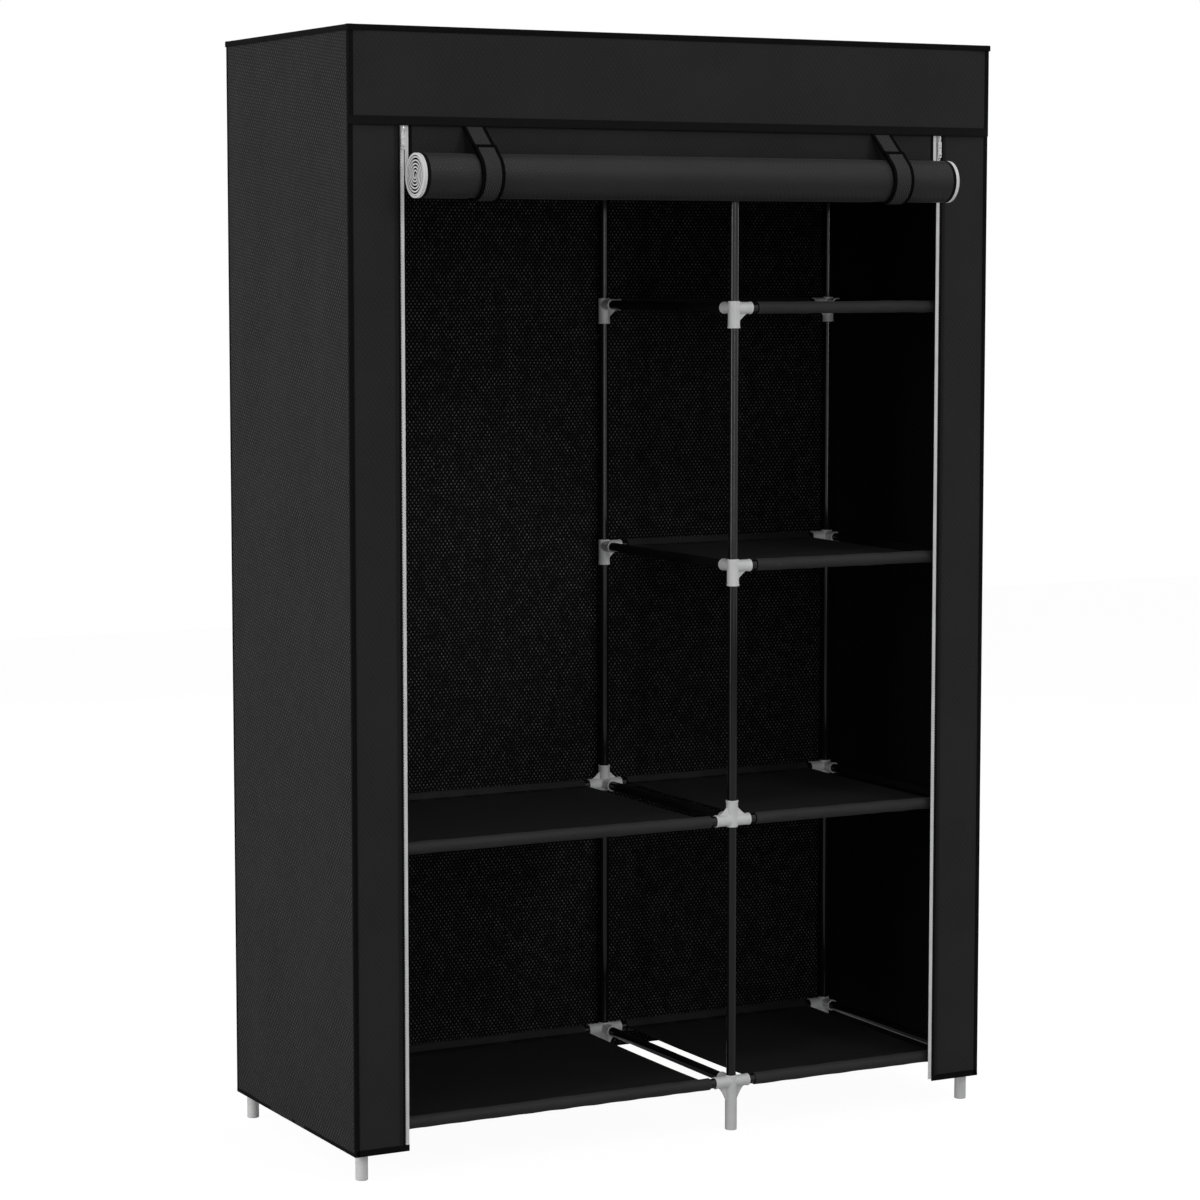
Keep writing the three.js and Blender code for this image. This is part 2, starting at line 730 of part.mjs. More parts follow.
// A knuckle round the pin, a narrow neck and a rounded plate with a hole
function zipPull(side) {
  const knuckleHalf = cheekInner - knuckleSideGap;
  const halfPlate = pullWidth / 2;
  const knuckleStart = new THREE.Vector3(-knuckleHalf, 0, 0);
  const knuckle = solidOf(rod(knuckleDiameter / 2, 2 * knuckleHalf, alongX, knuckleStart, armSides));
  const cornerHeight = -pullLength + pullCorner;
  const corner = (x, degrees) => (
    arcPoints(pullCorner, degrees, degrees + 90, pullCornerSteps, new THREE.Vector2(x, cornerHeight))
  );
  const plate = solidOf(extruded([
    ...corner(-halfPlate + pullCorner, 180),
    ...corner(halfPlate - pullCorner, 270),
    new THREE.Vector2(halfPlate, -pullNeckLength - pullCorner),
    new THREE.Vector2(knuckleHalf, -pullNeckLength),
    new THREE.Vector2(knuckleHalf, 0),
    new THREE.Vector2(-knuckleHalf, 0),
    new THREE.Vector2(-knuckleHalf, -pullNeckLength),
    new THREE.Vector2(-halfPlate, -pullNeckLength - pullCorner),
  ], 'y', -pullThickness / 2, pullThickness / 2));
  const eyeRadius = hingePinDiameter / 2 + hingeRunningGap;
  const eyeStart = new THREE.Vector3(-knuckleHalf - cutOverrun, 0, 0);
  const eye = solidOf(rod(eyeRadius, 2 * (knuckleHalf + cutOverrun), alongX, eyeStart, hingePinSides));
  const holeStart = new THREE.Vector3(0, -pullThickness, -pullLength + halfPlate);
  const hole = solidOf(rod(pullHoleDiameter / 2, 2 * pullThickness, alongY, holeStart, tubeSides));
  const body = cut(knuckle.add(plate), [eye, hole]);
  const mesh = piece(`zip_pull_${side}`, geometryOf(body), 'zipMetal');
  mesh.position.set(zipLineX[side], frontY - hingePinForward, sliderHeight + hingePinHeight);
  return mesh;
}

function zips() {
  return [['left', 1], ['right', -1]].flatMap(([side, doorSide]) => [
    zipTape(side),
    zipSlider(side, doorSide),
    zipPull(side),
  ]);
}

// The whole wardrobe

const frame = new THREE.Group();
frame.add(...crossbars(), ...poles(), ...shelfTubes(), ...topRails(), hangingRail(), ...shelves());

const cover = new THREE.Group();
cover.add(
  coverTopPanel(),
  coverSide('cover_left_side', -sideFace, -1),
  coverSide('cover_right_side', sideFace, 1),
  coverBack(),
  coverFrontFrame(),
  headerFlap(),
);

const door = new THREE.Group();
door.add(doorRoll(), doorSheet(), ...straps(), ...zips());

const wardrobe = new THREE.Group();
wardrobe.add(frame, cover, door);

export default wardrobe;
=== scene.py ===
import math

import bmesh
import bpy
import numpy as np
from mathutils import Matrix, Vector, noise


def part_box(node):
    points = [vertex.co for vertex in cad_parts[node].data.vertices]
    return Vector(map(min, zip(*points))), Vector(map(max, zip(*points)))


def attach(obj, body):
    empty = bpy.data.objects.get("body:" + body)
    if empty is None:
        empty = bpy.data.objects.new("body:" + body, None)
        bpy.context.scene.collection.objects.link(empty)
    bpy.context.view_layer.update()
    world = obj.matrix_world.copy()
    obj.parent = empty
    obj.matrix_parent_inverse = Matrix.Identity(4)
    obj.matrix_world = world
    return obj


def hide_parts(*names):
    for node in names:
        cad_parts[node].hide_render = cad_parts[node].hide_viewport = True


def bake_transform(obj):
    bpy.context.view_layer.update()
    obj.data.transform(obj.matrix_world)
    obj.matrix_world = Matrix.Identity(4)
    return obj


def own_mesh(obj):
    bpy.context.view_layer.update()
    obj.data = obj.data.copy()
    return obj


# Portable fabric wardrobe with its door rolled up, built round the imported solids.
# Metres, in the frame of the solids: X to the right, Y to the back, Z up.
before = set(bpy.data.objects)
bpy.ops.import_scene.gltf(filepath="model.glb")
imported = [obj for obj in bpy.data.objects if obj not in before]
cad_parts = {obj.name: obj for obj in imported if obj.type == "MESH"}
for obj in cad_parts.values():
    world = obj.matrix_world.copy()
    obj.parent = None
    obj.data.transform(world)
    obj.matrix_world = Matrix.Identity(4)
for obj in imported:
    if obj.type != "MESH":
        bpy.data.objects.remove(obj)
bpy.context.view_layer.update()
print("frame loaded:", len(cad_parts), "solids")

mm = 0.001


def low(node):
    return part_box(node)[0]


def high(node):
    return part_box(node)[1]


def middle(node):
    return (low(node) + high(node)) / 2


def newObject(name, data):
    thing = bpy.data.objects.new(name, data)
    bpy.context.scene.collection.objects.link(thing)
    return thing


photoView = {
    "place": (-2.5372, -4.7028, 1.3500),
    "turn": 27.99,  # degrees to the right
    "dip": 5.69,
    "lens": 102.90,
}


def makeCamera():
    data = bpy.data.cameras.new("photoView")
    data.lens = photoView["lens"]
    camera = newObject("photoView", data)
    camera.location = photoView["place"]
    camera.rotation_euler = (math.radians(90 - photoView["dip"]), 0, math.radians(-photoView["turn"]))
    bpy.context.scene.camera = camera


makeCamera()
bpy.context.scene.view_settings.view_transform = "Standard"
print("camera placed")


# Adds nodes to one material or world
class Nodes:
    def __init__(self, owner):
        owner.use_nodes = True
        self.owner, self.tree = owner, owner.node_tree

    def put(self, socket, value):
        if isinstance(value, bpy.types.NodeSocket):
            self.tree.links.new(value, socket)
        else:
            socket.default_value = value

    def add(self, kind, inputs=None, **settings):
        node = self.tree.nodes.new("ShaderNode" + kind)
        for key, value in settings.items():
            setattr(node, key, value)
        for key, value in (inputs or {}).items():
            self.put(node.inputs[key], value)
        return node

    def maths(self, operation, first, second=0.0):
        return self.add("Math", {0: first, 1: second}, operation=operation).outputs[0]

    def times(self, first, second):
        return self.maths("MULTIPLY", first, second)

    def plus(self, first, second):
        return self.maths("ADD", first, second)

    def wave(self, value, pitch):
        return self.maths("SINE", self.times(value, 2 * math.pi / pitch))

    def mix(self, share, first, second):
        return self.add("Mix", {0: share, 6: first, 7: second}, data_type="RGBA").outputs[2]

    def fade(self, value, start, end, low=0.0, high=1.0):
        inputs = dict(enumerate((value, start, end, low, high)))
        return self.add("MapRange", inputs, interpolation_type="SMOOTHSTEP").outputs[0]


# A material in the making, with the object's own place as its pattern space
class Finish(Nodes):
    def __init__(self, name, roughness, specular=0.5, others=None):
        super().__init__(bpy.data.materials.new(name))
        self.shader = self.tree.nodes["Principled BSDF"]
        self.give({"Roughness": roughness, "Specular IOR Level": specular, **(others or {})})
        self.place = self.add("TexCoord").outputs["Object"]

    def give(self, values):
        for socket, value in values.items():
            self.put(self.shader.inputs[socket], value)

    def axes(self, place=None):
        return self.add("SeparateXYZ", {0: place or self.place}).outputs

    def noise(self, scale, detail=2.0, roughness=0.5):
        inputs = {"Vector": self.place, "Scale": scale, "Detail": detail, "Roughness": roughness}
        return self.add("TexNoise", inputs).outputs["Fac"]

    # gives it its varying colour and its relief, and returns the finished material
    def done(self, colour, height, strength, depth):
        bump = self.add("Bump", {"Height": height, "Strength": strength, "Distance": depth})
        self.give({"Base Color": colour, "Normal": bump.outputs[0]})
        return self.owner


def grey(level):
    return (level, level, level, 1)


# Finishes

clothLook = {
    "base": 0.0115,
    # colour of the dots: painted sheen, lighter than the cloth itself
    "dot": 0.049,
    "dotPitch": 0.0072,
    "rowPitch": 0.0100,  # two rows of dots
    "slant": -0.12,
    "dotSize": (0.15, 0.75),  # where a dot begins and where it is full
    "dotDepth": 0.0004,
    "dotGloss": 0.2,  # how much less rough a dot is
    "patchy": 0.7,
    "patchScale": 42.0,
    "uneven": (620.0, 0.45),  # scale of the unevenness, and what it leaves of a dot
    "roughness": 0.85,
    "specular": 0.08,
    "sheen": 0.02,
    "warp": 0.0030,
    "warpScale": 7.0,
    "mottle": 0.07,
    "mottleScale": 9.0,
}


# Spun cloth with rows of small pressed dots; the plane says which way it faces. The dots are painted lighter than the
# cloth, as painted sheen
def pressedCloth(name, plane, **changes):
    look = {**clothLook, **changes}
    cloth = Finish(name, look["roughness"], look["specular"], {"Sheen Weight": look["sheen"]})
    warp = cloth.add("TexNoise", {"Vector": cloth.place, "Scale": look["warpScale"], "Detail": 1.0})
    shift = cloth.add("VectorMath", {0: warp.outputs["Color"], 1: (look["warp"],) * 3}, operation="MULTIPLY")
    bent = cloth.add("VectorMath", {0: cloth.place, 1: shift.outputs[0]}, operation="ADD")
    axes = cloth.axes(bent.outputs[0])
    across, up = (axes["XYZ".index(axis)] for axis in plane)
    up = cloth.plus(up, cloth.times(across, look["slant"]))
    rows = cloth.times(cloth.wave(across, look["dotPitch"]), cloth.wave(up, look["rowPitch"]))
    patches = cloth.fade(cloth.noise(look["patchScale"]), 0.35, 0.6, look["patchy"], 1.0)
    dots = cloth.times(cloth.fade(rows, *look["dotSize"]), patches)
    fibre = cloth.noise(look["uneven"][0], 3.0)
    cloud = cloth.fade(cloth.noise(look["mottleScale"], 3.0), 0.3, 0.7)
    base = cloth.mix(cloud, grey(look["base"] * (1 - look["mottle"])), grey(look["base"] * (1 + look["mottle"])))
    # mask of the dots' painted sheen, thinned where the cloth is uneven
    dotSheenMask = cloth.times(dots, cloth.fade(fibre, 0.3, 0.7, look["uneven"][1], 1.0))
    cloth.give({"Roughness": cloth.fade(dots, 0.0, 1.0, look["roughness"], look["roughness"] - look["dotGloss"])})
    height = cloth.plus(cloth.times(fibre, 0.25), dots)
    return cloth.done(cloth.mix(dotSheenMask, base, grey(look["dot"])), height, 0.8, look["dotDepth"])


twillLook = {"pitch": 0.0011, "fibre": 900.0, "ribs": 0.5, "shades": (0.6, 1.4), "depth": 0.0002}


# Woven band with fine slanting ribs, for bindings and hems
def twillBand(name, level, pitch=twillLook["pitch"], specular=0.03):
    band = Finish(name, 0.85, specular)
    axes = band.axes()
    ribs = band.wave(band.plus(axes[0], band.plus(axes[1], axes[2])), pitch)
    tone = band.fade(band.plus(band.times(ribs, twillLook["ribs"]), band.noise(twillLook["fibre"])), 0.0, 1.0)
    dark, light = (grey(level * shade) for shade in twillLook["shades"])
    return band.done(band.mix(tone, dark, light), tone, 0.6, twillLook["depth"])


webbingLook = {"dark": 0.0015, "light": 0.046, "pitch": 0.0040, "slope": 0.45, "fibre": 800.0, "depth": 0.0004}


# Webbing in a small checker weave
def checkWebbing(name):
    band = Finish(name, 0.75, 0.2)
    axes = band.axes()
    climb = band.plus(axes[2], band.times(axes[1], webbingLook["slope"]))
    weave = band.times(band.wave(axes[0], webbingLook["pitch"]), band.wave(climb, webbingLook["pitch"]))
    fibre = band.fade(band.noise(webbingLook["fibre"]), 0.2, 0.8, 0.6, 1.0)
    tone = band.times(band.fade(weave, -0.25, 0.25), fibre)
    colour = band.mix(tone, grey(webbingLook["dark"]), grey(webbingLook["light"]))
    return band.done(colour, tone, 0.7, webbingLook["depth"])


zipClothLook = {"dark": 0.62, "light": 0.80, "soil": 0.40, "soiled": 0.25, "pitch": 0.0012, "depth": 0.0002}


def whiteZipCloth(name):
    tape = Finish(name, 0.7, 0.3)
    rows = tape.wave(tape.axes()[2], zipClothLook["pitch"])
    tone = tape.fade(tape.plus(tape.times(rows, 0.4), tape.noise(700.0)), 0.0, 1.0)
    clean = tape.mix(tone, grey(zipClothLook["dark"]), grey(zipClothLook["light"]))
    soil = tape.fade(tape.noise(24.0, 3.0), 0.35, 0.75, 0.0, zipClothLook["soiled"])
    return tape.done(tape.mix(soil, clean, grey(zipClothLook["soil"])), tone, 0.5, zipClothLook["depth"])


plasticLook = {"level": 0.60, "cool": (0.93, 0.94, 0.95), "warm": (1.05, 1.05, 1.04), "gloss": (0.36, 0.5)}


def mouldedPlastic(name):
    plastic = Finish(name, 0.42, 0.4)
    flow = plastic.noise(38.0, 3.0)
    ends = [(*(plasticLook["level"] * tint for tint in plasticLook[key]), 1) for key in ("cool", "warm")]
    plastic.give({"Roughness": plastic.fade(flow, 0.2, 0.8, *plasticLook["gloss"])})
    height = plastic.plus(plastic.times(plastic.noise(1400.0), 0.5), flow)
    return plastic.done(plastic.mix(plastic.fade(flow, 0.3, 0.7), *ends), height, 0.35, 0.0002)


steelLook = {"level": 0.007, "specular": 0.21, "coat": 0.2, "coatRoughness": 0.06, "gloss": (0.08, 0.13)}


def coatedSteel(name):
    coat = {"Coat Weight": steelLook["coat"], "Coat Roughness": steelLook["coatRoughness"]}
    steel = Finish(name, 0.10, steelLook["specular"], coat)
    peel = steel.noise(420.0)
    steel.give({"Roughness": steel.fade(peel, 0.2, 0.8, *steelLook["gloss"])})
    colour = steel.mix(steel.noise(30.0), grey(steelLook["level"] * 0.8), grey(steelLook["level"] * 1.2))
    return steel.done(colour, peel, 0.12, 0.0001)


metalLook = {"metallic": 0.55, "dark": (0.42, 0.42, 0.43, 1), "light": (0.62, 0.62, 0.61, 1), "gloss": (0.24, 0.45)}


def castMetal(name):
    metal = Finish(name, 0.34, others={"Metallic": metalLook["metallic"]})
    wear = metal.noise(260.0, 4.0, 0.6)
    metal.give({"Roughness": metal.fade(wear, 0.3, 0.7, *metalLook["gloss"])})
    colour = metal.mix(metal.fade(wear, 0.35, 0.65), metalLook["dark"], metalLook["light"])
    return metal.done(colour, wear, 0.3, 0.0001)


frontWeave = {"dotDepth": 0.0002}
shelfWeave = {"dotPitch": 0.0036, "rowPitch": 0.0036, "dotDepth": 0.0001}
sideCloth = pressedCloth("coverClothSide", "YZ")
frontCloth = pressedCloth("coverClothFront", "XZ", base=0.0193, dot=0.0215, **frontWeave)
rollCloth = pressedCloth("rolledCloth", "XZ", base=0.0165, dot=0.019, roughness=0.56, specular=0.14,
                         **frontWeave)
backCloth = pressedCloth("coverClothBack", "XZ")
topCloth = pressedCloth("coverClothTop", "XY")
# Darker copies of the cover cloth for its inner faces: painted shade of the inside; across the back the dots are
# painted much lighter, as painted highlights
insideShadeAcross = pressedCloth("coverLiningAcross", "XZ", base=0.0022, dot=0.155, dotPitch=0.0068, rowPitch=0.0096,
                            slant=0.0, dotSize=(0.3, 0.85), patchy=0.45, uneven=(300.0, 0.15))
insideShadeDeep = pressedCloth("coverLiningDeep", "YZ", base=0.0005, dot=0.0009)
# The sleeves and the plate are one cloth: the sleeve copy is lighter and the plate copy darker, painted light and
# painted shade
sleeveCloth = pressedCloth("shelfSleeveCloth", "XY", base=0.022, dot=0.026, roughness=0.7, specular=0.15,
                           **shelfWeave)
shadedPlateCloth = pressedCloth("shelfPlateClothShaded", "XY", base=0.0042, dot=0.0050, specular=0.04, **shelfWeave)
bindingTape = twillBand("bindingTape", 0.0055)
hemTape = twillBand("hemTape", 0.0065, specular=0.06)
facingCloth = twillBand("facingCloth", 0.0165, 0.0016)
threadFinish = twillBand("sewingThread", 0.010, 0.0006)
# dark binding along the strap's edges and end, darkened further: partly real binding, partly painted shade
strapBindingAndShade = twillBand("strapBindingAndShade", 0.0022, specular=0.02)
webbing = checkWebbing("strapWebbing")
zipCloth = whiteZipCloth("zipCloth")
connectorPlastic = mouldedPlastic("connectorPlastic")
tubeSteel = coatedSteel("tubeSteel")
zipMetal = castMetal("zipMetal")
print("finishes made:", len(bpy.data.materials))


# Mesh helpers

# Every piece's mesh lies in the common frame, with its object at the origin
def addPiece(name, mesh, finish, slotName, body="root", stands=None, shadeFinish=None):
    mesh.materials.append(finish)
    # the second finish is a darker copy that paints shade on some faces
    if shadeFinish:
        mesh.materials.append(shadeFinish)
    piece = newObject(name, mesh)
    if body:
        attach(piece, body)
    if stands:
        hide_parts(stands)
    return piece


def smoothed(mesh, angle=40):
    mesh.polygons.foreach_set("use_smooth", [True] * len(mesh.polygons))
    mesh.set_sharp_from_angle(angle=math.radians(angle))
    mesh.update()
    return mesh


def meshFrom(name, points, faces, angle=40):
    mesh = bpy.data.meshes.new(name)
    mesh.from_pydata(points, [], faces)
    return smoothed(mesh, angle)


# A sheet of cloth round a middle surface, which is a function of two shares; with shadedInside its inner face takes a
# second finish, which carries painted shade
def sheetMesh(name, surface, across, along, thickness, shadedInside=False):
    mid = np.array([[surface(i / across, j / along) for j in range(along + 1)] for i in range(across + 1)])
    normal = np.cross(np.gradient(mid, axis=0), np.gradient(mid, axis=1))
    normal /= np.linalg.norm(normal, axis=2, keepdims=True)
    half = normal * (thickness / 2)
    points = np.concatenate([(mid + half).reshape(-1, 3), (mid - half).reshape(-1, 3)])
    rows = along + 1
    layer = (across + 1) * rows

    def at(i, j, side):
        return side * layer + i * rows + j

    cells = [(i, j) for i in range(across) for j in range(along)]
    faces = [(at(i, j, 0), at(i + 1, j, 0), at(i + 1, j + 1, 0), at(i, j + 1, 0)) for i, j in cells]
    faces += [(at(i, j, 1), at(i, j + 1, 1), at(i + 1, j + 1, 1), at(i + 1, j, 1)) for i, j in cells]
    for i in range(across):
        faces.append((at(i, 0, 1), at(i + 1, 0, 1), at(i + 1, 0, 0), at(i, 0, 0)))
        faces.append((at(i, along, 0), at(i + 1, along, 0), at(i + 1, along, 1), at(i, along, 1)))
    for j in range(along):
        faces.append((at(0, j, 0), at(0, j + 1, 0), at(0, j + 1, 1), at(0, j, 1)))
        faces.append((at(across, j, 1), at(across, j + 1, 1), at(across, j + 1, 0), at(across, j, 0)))
    mesh = meshFrom(name, points.tolist(), faces)
    if shadedInside:
        for face in list(mesh.polygons)[len(cells):2 * len(cells)]:
            face.material_index = 1
    return mesh


def lengthOf(points):
    return sum((second - first).length for first, second in zip(points, points[1:]))


# Points at even shares along a polyline
def alongPath(path):
    points = [Vector(p) for p in path]
    lengths = [lengthOf(points[:count]) for count in range(1, len(points) + 1)]

    def at(share):
        reach = share * lengths[-1]
        for place in range(1, len(points)):
            if reach <= lengths[place] or place == len(points) - 1:
                part = (reach - lengths[place - 1]) / (lengths[place] - lengths[place - 1])
                return points[place - 1].lerp(points[place], part)

    at.total = lengths[-1]
    return at


def arc(centre, radius, start, end, steps):
    points = []
    for step in range(steps + 1):
        angle = math.radians(start + (end - start) * step / steps)
        points.append((centre[0] + radius * math.cos(angle), centre[1] + radius * math.sin(angle)))
    return points


def clamped(value):
    return max(0.0, min(1.0, value))


def eased(value):
    return clamped(value) ** 2 * (3 - 2 * clamped(value))


# Rises from 0 at both ends of a width to 1 at some reach from them
def edgeFade(share, total, reach):
    return eased(min(share, 1 - share) * total / reach)


rippleLook = {"waves": (0.11, 0.42), "finer": (2.3, 2.1), "fineSeed": 9.5, "fineShare": 0.45}


# Soft waves of a hung cloth, broad ones with finer ones on them
def ripple(first, second, seed, height, waves=rippleLook["waves"]):
    first, second = first / waves[0], second / waves[1]
    finer, fineSeed = rippleLook["finer"], seed + rippleLook["fineSeed"]
    broad = noise.noise(Vector((first, second, seed)))
    fine = noise.noise(Vector((first * finer[0], second * finer[1], fineSeed)))
    return height * (broad + rippleLook["fineShare"] * fine)


# Turns a profile of (radius, reach) points about a line; a closed profile makes a tube
def turned(work, profile, start, direction, sides, closed=False):
    direction = Vector(direction).normalized()
    side = direction.orthogonal().normalized()
    other = direction.cross(side)
    rings = []
    for radius, reach in profile:
        centre = Vector(start) + direction * reach
        angles = [2 * math.pi * turn / sides for turn in range(sides)] if radius else [0]
        rings.append([work.verts.new(centre + (side * math.cos(angle) + other * math.sin(angle)) * radius)
                      for angle in angles])
    pairs = list(zip(rings, rings[1:])) + ([(rings[-1], rings[0])] if closed else [])
    for first, second in pairs:
        for turn in range(sides):
            after = (turn + 1) % sides
            corners = []
            for ring, ends in ((first, (after, turn)), (second, (turn, after))):
                corners += [ring[0]] if len(ring) == 1 else [ring[end] for end in ends]
            work.faces.new(corners)
    bmesh.ops.recalc_face_normals(work, faces=work.faces)


# Joins two closed rings of corners with a band of faces
def joinRings(work, first, second):
    for place in range(len(first)):
        after = (place + 1) % len(first)
        work.faces.new((first[place], second[place], second[after], first[after]))


def meshOf(name, work, angle=40):
    mesh = bpy.data.meshes.new(name)
    work.to_mesh(mesh)
    work.free()
    return smoothed(mesh, angle)


def appliedMesh(piece, name):
    view = bpy.context.evaluated_depsgraph_get()
    mesh = bpy.data.meshes.new_from_object(piece.evaluated_get(view))
    mesh.name = name
    return mesh


# Frame tubes

tubeLook = {"wall": 0.6 * mm, "sides": 40, "edge": 0.25 * mm}


def tubeMesh(name, start, end, radius):
    direction = Vector(end) - Vector(start)
    length, edge = direction.length, tubeLook["edge"]
    inner = radius - tubeLook["wall"]
    profile = [(inner, 0), (radius - edge, 0), (radius, edge), (radius, length - edge), (radius - edge, length),
               (inner, length)]
    work = bmesh.new()
    turned(work, profile, start, direction, tubeLook["sides"], closed=True)
    return meshOf(name, work)


def tubeInPlaceOf(node, axis):
    lowEnd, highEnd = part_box(node)
    start, end = middle(node), middle(node)
    start[axis], end[axis] = lowEnd[axis], highEnd[axis]
    radius = max(highEnd[other] - lowEnd[other] for other in range(3) if other != axis) / 2
    addPiece(f"steel_{node}", tubeMesh(node, start, end, radius), tubeSteel, "tube_steel", stands=node)


for nodeName in sorted(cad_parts):
    if nodeName.startswith("pole_"):
        tubeInPlaceOf(nodeName, 2)
    elif nodeName.startswith(("shelf_tube_", "top_rail_")) or nodeName == "hanging_rail":
        tubeInPlaceOf(nodeName, 0)

columnX = {side: middle(f"pole_front_{side}").x for side in ("left", "centre", "right")}
frontPoleY = middle("pole_front_left").y
backPoleY = middle("pole_back_left").y
tubeRadius = (high("pole_front_left").y - low("pole_front_left").y) / 2
levelZ = {
    "floor": middle("shelf_tube_left_floor_front").z,
    "lower": middle("shelf_tube_left_lower_front").z,
    "middle": middle("shelf_tube_right_middle_front").z,
    "upper": middle("shelf_tube_right_upper_front").z,
    "top": middle("hanging_rail").z,
}
print("tubes made, poles at", [round(x, 3) for x in columnX.values()])


# Moulded connectors: arms with rolled lips, curved webs and bored sockets

connectorLook = {
    "upright": 9.3 * mm,  # the arms' radii
    "side": 9.0 * mm,
    "depth": 8.7 * mm,
    "armReach": 30 * mm,
    "lipRise": 0.6 * mm,
    "lipLength": 3.2 * mm,
    "lipSlope": 0.8 * mm,
    "lipEdge": 0.5 * mm,
    "plainEdge": 0.6 * mm,
    "bore": 7.75 * mm,
    "socketEnd": 9.2 * mm,  # from the connector's centre
    "depthSocketEnd": 18.4 * mm,
    "poleSeat": 34 * mm,
    "poleHeadroom": 4.3 * mm,
    "web": 3.0 * mm,
    "webOut": 24 * mm,
    "webSink": 1.5 * mm,
    "webPull": (15 * mm, 13.5 * mm),  # draws the web's free edge into a curve
    "voxel": 0.52 * mm,
    "soften": (0.5, 3),
    "keepFaces": 0.14,
    "sides": 40,
    "boreSides": 24,
}
# how far the upright arm reaches up and down, and how far its webs run along it
uprightReach = {
    "floor": (10.5 * mm, 76 * mm, -35 * mm),
    "standing": (31 * mm, 10.5 * mm, 22.5 * mm),
    "hanging": (10.5 * mm, 31 * mm, -22.5 * mm),
    "top": (9.4 * mm, 31 * mm, -22.5 * mm),
}
railSocketLook = {"length": 34 * mm, "reach": 30 * mm}


def addArm(work, direction, radius, reach, lipped=True):
    look = connectorLook
    edge = look["lipEdge"] if lipped else look["plainEdge"]
    rise = look["lipRise"] if lipped else 0.0
    profile = [(0, 0), (radius, 0), (radius + rise, reach - edge), (radius + rise - edge, reach), (0, reach)]
    if lipped:
        begin = reach - look["lipLength"]
        profile[2:2] = [(radius, begin), (radius + rise, begin + look["lipSlope"])]
    turned(work, profile, (0, 0, 0), direction, look["sides"])


def addWeb(work, side, along):
    look = connectorLook
    out, half, thick = look["webOut"], look["side"] - look["webSink"], look["web"] / 2
    sign = math.copysign(1, along)
    outline = [(0, 0), (side * out, 0), (side * out, sign * half)]
    start, end = Vector(outline[-1]), Vector((side * half, along))
    pull = Vector((side * look["webPull"][0], sign * look["webPull"][1]))
    for step in range(1, 9):
        share = step / 8
        outline.append(start.lerp(pull, share).lerp(pull.lerp(end, share), share)[:])
    outline.append((0, along))
    near, far = ([work.verts.new((x, y, z)) for x, z in outline] for y in (-thick, thick))
    work.faces.new(near)
    work.faces.new(far[::-1])
    joinRings(work, near, far)
    bmesh.ops.recalc_face_normals(work, faces=work.faces)


# Melts overlapping solids into one moulded body, then bores its sockets
def moulded(name, work, bores):
    source = newObject(name + "Raw", meshOf(name, work))
    melt = source.modifiers.new("melt", "REMESH")
    melt.mode, melt.voxel_size = "VOXEL", connectorLook["voxel"]
    soften = source.modifiers.new("soften", "SMOOTH")
    soften.factor, soften.iterations = connectorLook["soften"]
    thin = source.modifiers.new("thin", "DECIMATE")
    thin.ratio = connectorLook["keepFaces"]
    cutter = bmesh.new()
    for start, direction, length in bores:
        profile = [(0, 0), (connectorLook["bore"], 0), (connectorLook["bore"], length), (0, length)]
        turned(cutter, profile, start, direction, connectorLook["boreSides"])
    tool = newObject(name + "Bores", meshOf(name + "Bores", cutter))
    bore = source.modifiers.new("bore", "BOOLEAN")
    bore.operation, bore.object, bore.solver = "DIFFERENCE", tool, "EXACT"
    mesh = smoothed(appliedMesh(source, name), 42)
    bpy.data.objects.remove(source)
    bpy.data.objects.remove(tool)
    return mesh


def connectorMesh(level, sides):
    up, down, along = uprightReach[level]
    look, overrun = connectorLook, 1 * mm
    work = bmesh.new()
    addArm(work, (0, 0, 1), look["upright"], up, level == "standing")
    addArm(work, (0, 0, -1), look["upright"], down, level in ("hanging", "top"))
    addArm(work, (0, 1, 0), look["depth"], look["armReach"])
    for side in sides:
        addArm(work, (side, 0, 0), look["side"], look["armReach"])
        addWeb(work, side, along)
    bottom = -look["poleSeat"] if level == "floor" else -down - overrun
    top = look["poleHeadroom"] if level == "top" else up + overrun
    bores = [((0, 0, bottom), (0, 0, 1), top - bottom)]
    bores += [((side * look["socketEnd"], 0, 0), (side, 0, 0), look["armReach"]) for side in sides]
    bores.append(((0, look["depthSocketEnd"], 0), (0, 1, 0), look["armReach"]))
    return moulded(f"connector_{level}_{len(sides)}", work, bores)


def railSocket():
    work = bmesh.new()
    for way in (-1, 1):
        addArm(work, (0, way, 0), connectorLook["upright"], railSocketLook["length"] / 2)
    addArm(work, (1, 0, 0), connectorLook["side"], railSocketLook["reach"])
    return moulded("rail_socket", work, [((connectorLook["socketEnd"], 0, 0), (1, 0, 0), railSocketLook["reach"])])


# Puts a copy of a moulded form in its place, turned by mirroring
def addConnector(name, form, node, place, flipX, flipY=1):
    copy = form.copy()
    copy.name = name
    copy.transform(Matrix.Translation(place) @ Matrix.Diagonal((flipX, flipY, 1, 1)))
    if flipX * flipY < 0:
        copy.flip_normals()
    copy.update()
    addPiece(name, copy, connectorPlastic, "connector_plastic", stands=node)


